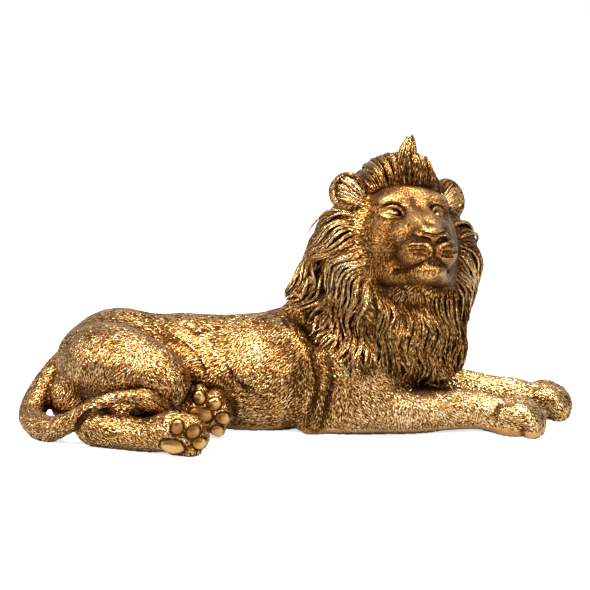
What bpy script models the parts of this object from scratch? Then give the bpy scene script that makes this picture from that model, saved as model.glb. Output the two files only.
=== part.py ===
"""A lion lying at rest with its head raised and turned, cast in one piece with a flat underside.

The figure is laid out on its own grid: 410 units from the curve of the tail to the front paw, x towards the
paws, y towards the lion's left, z up from the floor. Every mass, lock and groove is given on that grid, and
UNIT turns it into metres.
"""

import math

import bmesh
import bpy
import numpy as np
from mathutils import Matrix

# Driving sizes, in metres
LENGTH = 0.41

# The figure's own grid, and how finely it is modelled on it
GRID_LENGTH = 410.13
UNIT = LENGTH / GRID_LENGTH
VOXEL = 2.0
TRIANGLES = 9600
DECIMALS = 3
UNDERSIDE = 0.6
FINE_SHARE = 0.12
FACE_WEIGHT = 0.5
EYE_WEIGHT = 0.4
SHORT_EDGE = 0.05
BALL_SPACING = 0.35
FAR_OUT = 110.0

# The head's own axes: the point between the eyes, and how the head turns, lifts and tilts
HEAD_AT = (89.6, -31.0, 161.3)
HEAD_TURN = math.radians(-65.0)
HEAD_LIFT = math.radians(21.0)
HEAD_TILT = math.radians(-5.3)

# The mane's locks
LOCK_LENGTH = 54.0
LOCK_RADIUS = 5.3
LOCK_STEP = 4.5
LOCK_SPACING = 12.5
ROW_DROP = 27.0
LOCK_LIFT = 3.0
MANE_RADIUS = 50.0
TRACE_STEPS = 40
TRACE_SHARE = 0.8


def head_axes():
    """Columns are the head's forward, left and up directions."""
    turn = Matrix.Rotation(HEAD_TURN, 3, "Z")
    lift = Matrix.Rotation(-HEAD_LIFT, 3, "Y")
    tilt = Matrix.Rotation(HEAD_TILT, 3, "X")
    return np.array(turn @ lift @ tilt)


HEAD = head_axes()


def on_head(point):
    """A place given as forward, left and up from between the eyes, put on the grid."""
    return np.array(HEAD_AT) + HEAD @ np.array(point, float)


# Masses and the hollows cut into them

def ball(centre, radii, blend=8.0, axes=None, cut=False):
    """An ellipsoid mass, or a hollow if it is a cut. axes has its own directions as columns."""
    return {
        "kind": "ball",
        "centre": np.array(centre, float),
        "radii": np.array(radii, float),
        "axes": np.eye(3) if axes is None else axes,
        "blend": blend,
        "reach": max(radii),
        "cut": cut,
    }


def smooth_path(points, steps=5):
    """Points with a radius each, as x, y, z, r, on one smooth curve through them."""
    p = np.array(points, float)
    p = np.vstack([2 * p[0] - p[1], p, 2 * p[-1] - p[-2]])
    found = []
    for a, b, c, d in zip(p[:-3], p[1:-2], p[2:-1], p[3:]):
        for t in np.arange(steps) / steps:
            found.append(
                0.5 * (2 * b + (c - a) * t + (2 * a - 5 * b + 4 * c - d) * t**2
                       + (3 * b - a - 3 * c + d) * t**3)
            )
    return np.vstack([found, p[-2]])


def limb(points, blend=8.0, steps=5, cut=False):
    """A round, tapering mass along a curve, or a groove if it is a cut."""
    path = smooth_path(points, steps)
    middle = (path[:, :3].min(0) + path[:, :3].max(0)) / 2
    reach = (np.linalg.norm(path[:, :3] - middle, axis=1) + path[:, 3]).max()
    return {"kind": "limb", "path": path, "centre": middle, "reach": reach, "blend": blend, "cut": cut}


def turned(yaw=0.0, pitch=0.0, roll=0.0, base=None):
    """Axes turned by degrees about Z, then Y, then X."""
    turn = (
        Matrix.Rotation(math.radians(yaw), 3, "Z")
        @ Matrix.Rotation(math.radians(pitch), 3, "Y")
        @ Matrix.Rotation(math.radians(roll), 3, "X")
    )
    return np.array(turn) if base is None else base @ np.array(turn)


def head_limb(points, blend, cut=False):
    """A limb given on the head's own axes."""
    return limb([(*on_head(p[:3]), p[3]) for p in points], blend, cut=cut)


def head_ball(centre, radii, blend, turn=(0, 0, 0), cut=False):
    """A ball given on the head's own axes."""
    return ball(on_head(centre), radii, blend, turned(*turn, base=HEAD), cut)


# The body

def trunk():
    return [
        ball((-28, -1, 33.5), (70, 51, 45.5), 10),
        ball((-84, 1, 36), (56, 44, 43.5), 12),
        ball((-132, 2, 38), (46, 44, 44.5), 12),
        limb([(-60, 0, 57, 16), (-20, 0, 60, 18), (14, 1, 69, 20), (40, 2, 90, 26)], 12),
        ball((46, -1, 36), (44, 46, 46), 12),
    ]


def flank_folds():
    """The folds of the skin on both sides: before the haunch, over the ribs and behind the shoulder."""
    folds = []
    for side in (-1, 1):
        folds += [
            limb([(-126, side * 22, 90, 3), (-108, side * 30, 80, 4.5), (-88, side * 45, 68, 5),
                  (-70, side * 50, 52, 5)], 7, cut=True),
            limb([(-76, side * 38, 79, 2), (-69, side * 43, 73, 3), (-62, side * 42, 76, 2.5),
                  (-46, side * 38, 80, 1.5)], 5, cut=True),
            limb([(-47, side * 52, 60, 2), (-46, side * 54, 46, 3.2), (-38, side * 53, 34, 3.2),
                  (-19, side * 53, 23, 2.4)], 6, cut=True),
            limb([(-27, side * 52, 62, 1.6), (-24, side * 55, 50, 2), (-14, side * 55, 37, 1.8)], 5, cut=True),
            limb([(6, side * 51, 66, 1), (8, side * 53, 50, 1.4), (4, side * 53, 34, 1)], 5, cut=True),
            limb([(-14, side * 16, 72, 6), (1, side * 34, 71, 7.4), (12, side * 45, 58, 8),
                  (16, side * 47, 42, 8), (14, side * 45, 24, 7), (12, side * 41, 8, 5)], 9),
            limb([(-6, side * 18, 91, 2), (9, side * 39, 79, 2.6), (21, side * 50, 62, 3.2),
                  (25, side * 53, 44, 3.2), (22, side * 51, 26, 2.6), (18, side * 49, 8, 2.4)], 6, cut=True),
        ]
    return folds


def front_paw(x, y):
    """Four toes side by side on a broad paw whose middle is at x, y."""
    masses = [ball((x - 4, y, 9), (17, 16.5, 16), 5)]
    for place, length in ((-1.5, 9), (-0.5, 12.5), (0.5, 12.5), (1.5, 9)):
        out = y + place * 8
        masses.append(
            limb([(x - 12, y + place * 6, 16.5, 6.5), (x + length - 9, out, 17.5, 7.6),
                  (x + length - 1, out + place, 11, 7.6), (x + length - 0.5, out + place, 4, 6.5)], 2.4)
        )
    return masses


def forelegs():
    return [
        ball((46, -36, 42), (33, 20, 33), 10, turned(0, 12, 0)),
        limb([(24, -33, 13, 15), (54, -36, 20, 20), (90, -32, 17, 17), (118, -25, 16, 15),
              (137, -22, 15, 14), (155, -24, 12, 13)], 8),
        ball((46, 36, 42), (33, 20, 33), 10, turned(0, 12, 0)),
        limb([(28, 36, 14, 15), (68, 36, 21, 19), (116, 29, 18, 17), (146, 25, 15.5, 14.5),
              (163, 23, 15, 14), (176, 23, 12, 13)], 8),
    ] + front_paw(171, -26) + front_paw(189, 23)


def pad(centre, radii, axes):
    """A smooth pad with a groove round it."""
    rim = [r + 1.3 for r in radii]
    return [ball(centre, rim, 0.8, axes, cut=True), ball(centre, radii, 0.6, axes)]


def hind_paw(middle, turn, lean, heel, toes, pads):
    """A paw on its side, its sole facing -Y: the heel pad and the toes are given as x, z on the sole.

    Only the first pads toes show a pad, and any further one is turned under.
    """
    axes = turned(turn, 0, lean)
    place = lambda x, y, z: np.array(middle) + axes @ np.array((x, y, z), float)
    masses = [ball(place(0, 0, 0), (17.5, 12.5, 15.5), 5, axes)]
    spots = [(x, z, math.degrees(math.atan2(z - heel[1], x - heel[0]))) for x, z in toes]
    for x, z, angle in spots:
        masses.append(ball(place(x * 0.92, -1, z * 0.92), (8, 10.5, 6.8), 2.4, axes @ turned(0, -angle, 0)))
    for x, z, angle in spots[:pads]:
        masses += pad(place(x, -8.8, z), (4.9, 3.6, 4), axes @ turned(0, -angle, 0))
    return masses + pad(place(heel[0], -9.6, heel[1]), (7.8, 4.2, 4.9), axes @ turned(0, 12, 0))


def hindlegs():
    return [
        limb([(-150, -18, 47, 27), (-130, -42, 49, 31), (-104, -58, 46, 26), (-90, -64, 42, 20)], 9),
        ball((-153, -28, 20), (28, 26, 26), 8),
        limb([(-92, -64, 32, 14), (-114, -72, 23, 12.5), (-136, -80, 17, 13)], 5),
        limb([(-138, -84, 15, 15), (-116, -90, 12.6, 12.8), (-96, -96, 12.8, 12.6), (-82, -99, 16, 15)], 4),
        limb([(-118, -46, 20, 18), (-90, -54, 18, 15), (-66, -58, 20, 13)], 4),
        limb([(-150, 26, 36, 28), (-122, 38, 30, 28), (-92, 44, 22, 21)], 10),
        limb([(-100, 50, 12, 14), (-128, 50, 11, 13), (-146, 44, 10, 12)], 6),
        limb([(-174, -60, 60, 2.4), (-158, -72, 54, 3.4), (-140, -79, 52, 3.4), (-124, -88, 55, 2.4)],
             7, cut=True),
    ] + hind_paw((-70.5, -100, 14), 10, 0, (-10, -5.5), ((-6.5, 8), (4.8, 4.4), (9, -4), (3, -12)), 3) \
      + hind_paw((-58.5, -58, 20), 6, 6, (-5.5, 1.5), ((-7, 14), (4, 9), (10, -2), (6, -12)), 4)


def tail():
    return [
        limb([(-169, 3, 42, 13), (-181, -10, 31, 12), (-189, -28, 20, 11), (-191, -46, 12, 10.4),
              (-184, -62, 9, 10.2), (-173, -73, 9, 9.8), (-161, -82, 14.5, 8.4), (-150, -88, 22, 7),
              (-139, -90, 30, 6), (-128, -91, 35.6, 5.4), (-118, -91, 38.2, 5.2), (-108, -90, 38.6, 5.6),
              (-99, -87, 35, 6.4), (-91, -83, 28.5, 6.4), (-84, -79, 21, 4.6)], 2),
    ]


# The head

def skull():
    masses = [
        head_ball((-34, 0, 0), (36, 34, 33), 8),
        head_ball((-16, 0, 9), (20, 28, 18), 8),
        head_ball((3, 0, -15), (24, 19, 17), 7),
        head_ball((12, 0, -16), (22, 12, 11), 5, (0, 38, 0)),
        head_ball((15, 0, -31), (20, 18.5, 12), 5),
        head_ball((19, 0, -45), (13, 13.5, 8.2), 3),
    ]
    for side in (-1, 1):
        masses += [
            head_limb([(0, side * 5.5, 6, 6), (5, side * 6, 1, 6), (16, side * 6.6, -8, 5.6),
                       (28, side * 6.2, -18, 4.6)], 4),
            head_ball((-3, side * 15.5, 9), (7.6, 11.5, 6.5), 8, (0, 0, side * 10)),
            head_ball((6, side * 14, -17), (15, 9, 12), 7),
            head_ball((-12, side * 20, -18), (20, 14.5, 24), 8),
            head_ball((20, side * 9, -31), (16.5, 11.6, 10.6), 6, (side * -8, -10, 0)),
            head_limb([(-20, side * 23, -34, 12), (-2, side * 17, -42, 9.5), (11, side * 8, -45, 7.5)], 6),
        ]
    return masses


def eyes():
    masses = []
    for s in (-1, 1):
        masses += [
            head_ball((7, s * 18.6, 0.4), (8, 10.4, 5.4), 3, (s * 12, 0, s * 8), True),
            head_limb([(9, s * 10.5, -4, 1.4), (14, s * 12, -12, 1)], 4, True),
            head_ball((-3, s * 18.4, 0.2), (7.4, 7.6, 5.4), 0.6),
            head_limb([(6.4, s * 10.6, -3, 1.1), (6.4, s * 13.6, 3, 1.6), (4.8, s * 18, 5.8, 1.9),
                       (0.8, s * 23, 5.4, 1.7), (-3.8, s * 27.2, 2.6, 1.2)], 1),
            head_limb([(6.4, s * 10.6, -3.6, 1.1), (5, s * 14.4, -4.6, 1.4), (3, s * 18.6, -5, 1.6),
                       (-0.4, s * 23.2, -3, 1.4), (-3.8, s * 27.2, 1.7, 1.1)], 1),
        ]
    return masses


def nose_and_mouth():
    masses = [
        head_ball((30.5, 0, -20.5), (7.5, 10.5, 6), 2.5, (0, 30, 0)),
        head_limb([(38.8, 0, -26, 1.1), (38.2, 0, -31, 1.2), (36.6, 0, -37, 1.4)], 1.6, True),
    ]
    for s in (-1, 1):
        masses += [
            head_ball((30.5, s * 9, -21.5), (6.5, 4.4, 4.6), 2),
            head_limb([(38, s * 2.8, -28, 1.2), (37.6, s * 6, -25.2, 2.3), (35, s * 10, -22.6, 2.3),
                       (30.5, s * 13.4, -20.6, 1.2)], 1, True),
            head_limb([(36.8, 0, -37.6, 1.4), (34, s * 5.5, -39.6, 1.7), (28, s * 11, -41.6, 1.8),
                       (20, s * 15.6, -43, 1.9), (13, s * 18.6, -43.6, 1.9), (8, s * 20.4, -44.4, 1.7)], 2, True),
        ]
    return masses


def ears():
    masses = []
    for s in (-1, 1):
        masses += [
            head_ball((-25, s * 40 - 2, 19), (9, 14.5, 16), 4, (s * 24, -12, 0)),
            head_ball((-16.5, s * 42.4 - 2, 20.5), (9, 10.5, 12), 2, (s * 24, -12, 0), True),
            head_limb([(-24, s * 31 - 2, 10, 6), (-21, s * 35 - 2, 13, 4), (-21, s * 38 - 2, 16, 2.5)], 4),
        ]
    return masses


# The mane

def mane():
    masses = [
        ball((72, 3, 120), (51, 42, 44), 10),
        limb([(-2, 2, 72, 13), (21, 3, 92, 22), (37, 4, 116, 25.5), (48, 4, 141, 26)], 10),
        ball((76, -1, 70), (38, 43, 44), 10),
        limb([(94, -6, 120, 28), (97, -8, 96, 26), (99, -8, 74, 25), (102, -8, 52, 19)], 8),
        head_ball((-36, 2, -10), (18, 45, 44), 6),
    ]
    masses.append(limb([(50, -14, 158, 16), (47, -20, 136, 20), (50, -24, 112, 23), (58, -27, 88, 23),
                        (72, -28, 70, 20)], 10))
    masses.append(limb([(108, 8, 148, 13), (114, 9, 127, 18.5), (107, 12, 104, 23), (94, 18, 82, 23),
                        (84, 24, 62, 22)], 10))
    return masses


def crest():
    """Strands swept up and back from the hairline, drawn together into one pointed tuft."""
    masses = [
        limb([(41, 3, 170, 12.5), (50, -1, 178, 12.5), (60, -4, 183, 13), (71, -6, 186, 13),
              (84, -7, 186, 13), (93, -4, 184, 11.5), (99, 1, 181, 8.5)], 4),
        limb([(79, -10, 190, 11), (82, -12, 202, 8), (84, -13, 209, 5), (85, -13, 215.5, 2)], 4),
    ]
    tops = ((37, 9, 181), (45, 4, 190), (53, 0, 197), (62, -3, 202), (71, -6, 204), (78, -10, 208),
            (84, -13, 215), (90, -11, 207), (95, -7, 201), (99, -2, 193), (102, 4, 184))
    for number, top in enumerate(tops):
        side = -27 + 49 * number / (len(tops) - 1)
        root = on_head((-5 - 0.014 * side**2, side, 24 - 0.004 * side**2))
        middle = 0.5 * (root + top) + HEAD @ np.array((4.5, 0, 1))
        masses.append(limb([(*root, 2.8), (*middle, 4), (*top, 2.8)], 0.8, steps=4))
    return masses


UNDER_LOCKS = trunk() + forelegs() + skull() + mane()
FIGURE = UNDER_LOCKS + flank_folds() + hindlegs() + tail() + eyes() + nose_and_mouth() + ears() + crest()


# The skin over the masses

def gap_to(mass, p):
    """How far each point is outside one mass."""
    if mass["kind"] == "ball":
        q = (p - mass["centre"]) @ mass["axes"]
        near = np.linalg.norm(q / mass["radii"], axis=1)
        slope = np.linalg.norm(q / mass["radii"] ** 2, axis=1)
        return near * (near - 1) / np.maximum(slope, 1e-9)
    best = np.full(len(p), np.inf)
    path = mass["path"]
    for a, b in zip(path[:-1], path[1:]):
        along = b[:3] - a[:3]
        t = np.clip((p - a[:3]) @ along / max(along @ along, 1e-9), 0, 1)
        away = np.linalg.norm(p - a[:3] - t[:, None] * along, axis=1)
        best = np.minimum(best, away - a[3] - t * (b[3] - a[3]))
    return best


def gap_to_skin(p, masses):
    """How far each point is outside all the masses, melted into each other by each one's blend."""
    gap = np.full(len(p), 60.0)
    for mass in masses:
        bound = np.linalg.norm(p - mass["centre"], axis=1) - mass["reach"]
        close = bound < (mass["blend"] - gap if mass["cut"] else mass["blend"] + gap)
        if not close.any():
            continue
        k = -mass["blend"] if mass["cut"] else mass["blend"]
        here, other = gap[close], gap_to(mass, p[close])
        if mass["cut"]:
            other = -other
        h = np.clip(0.5 + 0.5 * (here - other) / k, 0, 1)
        gap[close] = here * (1 - h) + other * h - k * h * (1 - h)
    return np.maximum(gap, -p[:, 2])


def gap_and_slope(p, masses, reach=0.5):
    """The gap at each point and the outward direction of the skin there."""
    gap = gap_to_skin(p, masses)
    lean = np.stack([gap_to_skin(p + reach * way, masses) - gap for way in np.eye(3)], 1)
    return gap, unit(lean)


def unit(v):
    return v / np.maximum(np.linalg.norm(v, axis=1, keepdims=True), 1e-9)


# Locks of hair

def hair_flow(p, outward):
    """The way the mane lies: away from the face, then down and back, in waves."""
    f, s, u = ((p - np.array(HEAD_AT)) @ HEAD).T
    ring = np.hypot(s, u + 12)
    fresh = np.clip((84 - ring) / 40, 0, 1) * np.clip((f + 66) / 34, 0, 1) * np.clip((u + 80) / 40, 0, 1)
    away = unit(np.stack([-0.35 * ring, s, u + 12], 1)) @ HEAD.T
    behind = np.clip((50 - p[:, 0]) / 50, 0, 1)
    fall = np.stack([-0.8 * behind, 0 * behind, -1 + 0.3 * behind], 1)
    way = fresh[:, None] * away + (1.1 - fresh)[:, None] * fall
    way = unit(way - (way * outward).sum(1, keepdims=True) * outward)
    swing = 0.45 * np.sin(p[:, 2] / 5.6 + p[:, 0] / 16 + p[:, 1] / 21)
    return unit(way + swing[:, None] * np.cross(outward, way))


def mane_edge(x):
    """How low the mane reaches at each place along the lion."""
    return np.interp(x, (-14, 0, 20, 42, 78, 100, 126), (99, 86, 63, 48, 44, 36, 42))


def mane_roots(masses, spacing):
    """Places all over the mane, in rows from the crown down to the chest, staggered from row to row."""
    centre, way = [], []
    rows = [(170, 55), (164, 20)] + [(z, -6) for z in np.arange(144, 58, -ROW_DROP)]
    for row, (z, lift) in enumerate(rows):
        x = np.interp(z, (50, 90, 130, 170), (82, 62, 62, 72))
        flat = math.cos(math.radians(lift))
        count = int(2 * math.pi * MANE_RADIUS * flat / spacing)
        for i in range(count):
            turn = 2 * math.pi * (i + 0.5 * (row % 2)) / count
            centre.append((x, -2, z))
            way.append((flat * math.cos(turn), flat * math.sin(turn), math.sin(math.radians(lift))))
    centre, way = np.array(centre, float), np.array(way)
    p = centre + FAR_OUT * way
    for _ in range(TRACE_STEPS):
        p = p - TRACE_SHARE * gap_to_skin(p, masses)[:, None] * way
    f, s, u = ((p - np.array(HEAD_AT)) @ HEAD).T
    on_face = (f > -20) & (np.abs(s) < 44) & (u > -62) & (u < 30)
    on_ear = (np.hypot(np.abs(s) - 40, u - 19) < 18) & (f > -48)
    on_crest = (u > 24) & (f > -46)
    low = p[:, 2] < mane_edge(p[:, 0]) + 12
    rows = p[~(on_face | on_ear | on_crest | low) & (p[:, 0] > -6)]
    return np.vstack([face_edge_roots(), rows])


def face_edge_roots():
    """Places along the edge of the face, from below one ear round under the chin to the other."""
    edge = smooth_path([(-15, -36, -7, 0), (-14, -34, -21, 0), (-14, -29, -36, 0), (-16, -20, -52, 0),
                        (-20, -10, -62, 0), (-21, 0, -65, 0)], steps=8)[:, :3]
    edge = np.vstack([edge, edge[-2::-1] * (1, -1, 1)])
    run = np.concatenate([[0], np.cumsum(np.linalg.norm(np.diff(edge, axis=0), axis=1))])
    stops = np.linspace(0, run[-1], int(run[-1] / LOCK_SPACING))
    return np.array([on_head(edge[np.searchsorted(run, stop)]) for stop in stops])


def comb(roots, masses, length, lift):
    """Walks each root along the flow of the hair and returns its path, risen off the skin."""
    p = roots.copy()
    paths = []
    count = int(length / LOCK_STEP)
    for i in range(count + 1):
        gap, outward = gap_and_slope(p, masses)
        rise = lift * (-0.8 + 1.8 * min(1, 2.2 * i / count))
        p = p - (gap - rise)[:, None] * outward
        paths.append(p.copy())
        p = p + LOCK_STEP * hair_flow(p, outward)
    return np.stack(paths, 1)


def lock_shape(t):
    """How thick a lock is along its length, as a share of its widest."""
    return np.interp(t, (0, 0.3, 0.65, 1), (0.7, 1, 0.85, 0.22))


def mane_locks(masses):
    paths = comb(mane_roots(masses, LOCK_SPACING), masses, LOCK_LENGTH, LOCK_LIFT)
    locks = []
    for number, path in enumerate(paths):
        keep = len(path) - number % 3
        above = path[:, 2] > mane_edge(path[:, 0])
        if not above.all():
            keep = min(keep, int(np.argmin(above)))
        if keep < 5:
            continue
        t = np.linspace(0, 1, keep)
        radius = LOCK_RADIUS * lock_shape(t)
        locks.append(limb(np.column_stack([path[:keep], radius]), 1.0, steps=1))
    return locks


# From masses to a mesh

def rough_mesh(masses, voxel):
    """All the masses as overlapping balls, joined by a voxel remesh."""
    bm = bmesh.new()
    for mass in masses:
        if mass["cut"]:
            continue
        if mass["kind"] == "ball":
            place = Matrix.Translation(mass["centre"]) @ Matrix(mass["axes"]).to_4x4()
            place = place @ Matrix.Diagonal((*mass["radii"], 1))
            bmesh.ops.create_icosphere(bm, subdivisions=3, radius=1, matrix=place)
            continue
        last = np.full(3, np.inf)
        for x, y, z, r in mass["path"]:
            if np.linalg.norm(last - (x, y, z)) < BALL_SPACING * r:
                continue
            last = np.array((x, y, z))
            bmesh.ops.create_icosphere(bm, subdivisions=2, radius=r, matrix=Matrix.Translation((x, y, z)))
    mesh = bpy.data.meshes.new("lion")
    bm.to_mesh(mesh)
    bm.free()
    lion = bpy.data.objects.new("lion", mesh)
    bpy.context.scene.collection.objects.link(lion)
    remesh(lion, voxel)
    return lion


def remesh(lion, voxel):
    step = lion.modifiers.new("Remesh", "REMESH")
    step.mode = "VOXEL"
    step.voxel_size = voxel
    apply_modifiers(lion)


def apply_modifiers(lion):
    graph = bpy.context.evaluated_depsgraph_get()
    mesh = bpy.data.meshes.new_from_object(lion.evaluated_get(graph))
    lion.modifiers.clear()
    lion.data = mesh


def places(mesh, what="co"):
    found = np.empty(len(mesh.vertices) * 3)
    mesh.vertices.foreach_get(what, found)
    return found.reshape(-1, 3)


def relax(p, ends, share):
    """Each point moved towards the middle of its neighbours."""
    here = np.concatenate([ends[:, 0], ends[:, 1]])
    there = np.concatenate([ends[:, 1], ends[:, 0]])
    count = np.maximum(np.bincount(here, minlength=len(p)), 1)
    middle = [np.bincount(here, p[there, i], len(p)) / count for i in range(3)]
    return p + share * (np.stack(middle, 1) - p)


def settle(lion, masses, rounds, reach):
    """Draws the mesh onto the skin a little at a time, with its vertices evenly spread."""
    mesh = lion.data
    ends = np.empty(len(mesh.edges) * 2, int)
    mesh.edges.foreach_get("vertices", ends)
    ends = ends.reshape(-1, 2)
    for step in range(rounds):
        p = places(mesh)
        if step < rounds - 2:
            p = relax(p, ends, 0.5)
        mesh.vertices.foreach_set("co", p.ravel())
        mesh.update()
        gap = np.clip(gap_to_skin(p, masses), -reach, reach)
        p = p - gap[:, None] * places(mesh, "normal")
        mesh.vertices.foreach_set("co", np.round(p, DECIMALS).ravel())
        mesh.update()


def mark_fine(lion):
    """The face keeps more of its triangles than the rest of the figure, and the eyes the most."""
    f, s, u = ((places(lion.data) - np.array(HEAD_AT)) @ HEAD).T
    face = np.clip((44 - np.hypot(s, u + 14)) / 8, 0, 1) * np.clip((f + 16) / 8, 0, 1)
    eye = face * np.clip((13 - np.hypot(np.abs(s) - 18, u)) / 4, 0, 1)
    group = lion.vertex_groups.new(name="fine")
    for index, share in enumerate(FACE_WEIGHT * face + EYE_WEIGHT * eye):
        group.add([index], 1 - float(share), "REPLACE")


def thin_out(lion, triangles):
    """Fewer triangles, kept where the form turns most."""
    mark_fine(lion)
    count = sum(len(face.vertices) - 2 for face in lion.data.polygons)
    step = lion.modifiers.new("Decimate", "DECIMATE")
    step.vertex_group = "fine"
    step.vertex_group_factor = FINE_SHARE
    step.ratio = triangles / count
    step.use_collapse_triangulate = True
    apply_modifiers(lion)


def flatten(lion, height):
    """Everything lower than a given height is laid on the floor, and each flat patch made one face."""
    bm = bmesh.new()
    bm.from_mesh(lion.data)
    for vert in bm.verts:
        if vert.co.z < height:
            vert.co.z = 0
    bmesh.ops.dissolve_degenerate(bm, dist=SHORT_EDGE, edges=bm.edges)
    under = [face for face in bm.faces if all(vert.co.z == 0 for vert in face.verts)]
    bmesh.ops.dissolve_faces(bm, faces=under)
    bm.to_mesh(lion.data)
    bm.free()


def centre(lion):
    """Puts the middle of the figure's underside at the origin."""
    p = places(lion.data)
    middle = (p.min(0) + p.max(0)) / 2
    lion.data.transform(Matrix.Translation((-middle[0], -middle[1], 0)))


def gold():
    material = bpy.data.materials.new("gold")
    material.use_nodes = True
    shader = material.node_tree.nodes["Principled BSDF"]
    shader.inputs["Base Color"].default_value = (0.52, 0.29, 0.09, 1)
    shader.inputs["Metallic"].default_value = 1.0
    shader.inputs["Roughness"].default_value = 0.35
    return material


def clear_scene():
    for obj in list(bpy.data.objects):
        bpy.data.objects.remove(obj, do_unlink=True)


def main():
    clear_scene()
    masses = FIGURE + mane_locks(UNDER_LOCKS)
    lion = rough_mesh(FIGURE, VOXEL)
    settle(lion, masses, 7, VOXEL)
    remesh(lion, VOXEL)
    settle(lion, masses, 4, VOXEL)
    thin_out(lion, TRIANGLES)
    flatten(lion, UNDERSIDE)
    centre(lion)
    lion.data.transform(Matrix.Scale(UNIT, 4))
    lion.data.shade_smooth()
    lion.data.materials.append(gold())


main()
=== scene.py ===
import math
import time
import bmesh
import bpy
import numpy as np
from mathutils import Matrix, Vector, kdtree


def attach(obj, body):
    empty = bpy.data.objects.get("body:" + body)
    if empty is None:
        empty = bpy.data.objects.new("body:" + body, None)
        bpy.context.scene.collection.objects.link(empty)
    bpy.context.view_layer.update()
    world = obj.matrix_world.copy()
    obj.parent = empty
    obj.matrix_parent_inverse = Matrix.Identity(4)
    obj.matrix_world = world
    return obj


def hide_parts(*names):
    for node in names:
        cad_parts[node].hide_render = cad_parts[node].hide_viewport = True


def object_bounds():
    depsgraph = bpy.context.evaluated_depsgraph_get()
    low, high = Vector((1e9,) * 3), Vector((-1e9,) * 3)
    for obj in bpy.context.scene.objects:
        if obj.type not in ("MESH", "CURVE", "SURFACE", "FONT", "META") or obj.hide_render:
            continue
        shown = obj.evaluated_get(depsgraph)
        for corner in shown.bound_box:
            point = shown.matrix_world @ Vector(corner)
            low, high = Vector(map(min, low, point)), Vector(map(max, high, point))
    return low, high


started = time.time()
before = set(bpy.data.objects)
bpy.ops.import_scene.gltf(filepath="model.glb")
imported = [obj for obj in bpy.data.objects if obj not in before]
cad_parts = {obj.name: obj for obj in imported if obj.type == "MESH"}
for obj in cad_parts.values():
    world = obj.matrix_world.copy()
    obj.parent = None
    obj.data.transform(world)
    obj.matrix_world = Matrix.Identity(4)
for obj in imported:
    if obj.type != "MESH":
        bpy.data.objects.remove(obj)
cadLow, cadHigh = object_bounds()
scene = bpy.context.scene


def report(words):
    print("lion:", words, "at", round(time.time() - started, 1), "s")


# The figure is shaped on its own grid: 410 units long, x towards the paws, z up from the floor
figure = {
    "unit": 0.41 / 410.13,              # metres in one unit of the grid
    "middle": (3.7154, -24.3125, 0.0),  # the point of the grid that is the frame's origin
}

head = {
    "at": (89.6, -31.0, 161.3),         # between the eyes
    "turn": math.radians(-65.0),        # towards the viewer
    "lift": math.radians(21.0),
    "tilt": math.radians(-5.3),
    "aside": -2.8,                      # how far the features lie to the left of the skull's middle
    "ear": (40, 19),                    # an ear's middle, out to the side and up
}

hair = {
    "length": 54.0,
    "spacing": 12.5,                    # between two tufts side by side
    "rowDrop": 27.0,                    # between two rows of tufts
    "maneRadius": 50.0,
    "traceSteps": 40,                   # steps of a ray from outside in to the skin
    "traceShare": 0.8,
    "farOut": 110.0,
}


# Columns are the head's forward, left and up directions.
def headAxes():
    turn = Matrix.Rotation(head["turn"], 3, "Z")
    lift = Matrix.Rotation(-head["lift"], 3, "Y")
    tilt = Matrix.Rotation(head["tilt"], 3, "X")
    return np.array(turn @ lift @ tilt)


headFrame = headAxes()


# A place given as forward, left and up from between the eyes, put on the grid.
def onHead(point):
    return np.array(head["at"]) + headFrame @ np.array(point, float)


# The other way round: how far each place is forward, left and up from between the eyes.
def fromHead(p):
    return ((p - np.array(head["at"])) @ headFrame).T


# How far places on the head are from the nearer ear, seen from ahead
def fromEar(s, u):
    return np.hypot(np.abs(s) - head["ear"][0], u - head["ear"][1])


# The ear on the right, where s is -1, stands a little higher.
def earHeight(s):
    return 20.6 - 0.9 * s


# Masses and the hollows cut into them

# An ellipsoid mass, or a hollow if it is a cut. axes has its own directions as columns.
def ball(centre, radii, blend=8.0, axes=None, cut=False):
    return {
        "kind": "ball",
        "centre": np.array(centre, float),
        "radii": np.array(radii, float),
        "axes": np.eye(3) if axes is None else axes,
        "blend": blend,
        "reach": max(radii),
        "cut": cut,
    }


# Points with a radius each, as x, y, z, r, on one smooth curve through them.
def smoothPath(points, steps=5):
    p = np.array(points, float)
    p = np.vstack([2 * p[0] - p[1], p, 2 * p[-1] - p[-2]])
    found = []
    for a, b, c, d in zip(p[:-3], p[1:-2], p[2:-1], p[3:]):
        for t in np.arange(steps) / steps:
            found.append(
                0.5 * (2 * b + (c - a) * t + (2 * a - 5 * b + 4 * c - d) * t**2
                       + (3 * b - a - 3 * c + d) * t**3)
            )
    return np.vstack([found, p[-2]])


# A round, tapering mass along a curve, or a groove if it is a cut.
def limb(points, blend=8.0, cut=False):
    path = smoothPath(points)
    middle = (path[:, :3].min(0) + path[:, :3].max(0)) / 2
    reach = (np.linalg.norm(path[:, :3] - middle, axis=1) + path[:, 3]).max()
    return {"kind": "limb", "path": path, "centre": middle, "reach": reach, "blend": blend, "cut": cut}


# Points of a limb with their second number turned to the side s, -1 or 1.
def sided(points, s):
    return [(x, s * y, z, r) for x, y, z, r in points]


# Axes turned by degrees about Z, then Y, then X.
def turned(yaw=0.0, pitch=0.0, roll=0.0, base=None):
    turn = (
        Matrix.Rotation(math.radians(yaw), 3, "Z")
        @ Matrix.Rotation(math.radians(pitch), 3, "Y")
        @ Matrix.Rotation(math.radians(roll), 3, "X")
    )
    return np.array(turn) if base is None else base @ np.array(turn)


# A limb given on the head's own axes.
def headLimb(points, blend, cut=False):
    return limb([(*onHead(p[:3]), p[3]) for p in points], blend, cut=cut)


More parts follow.
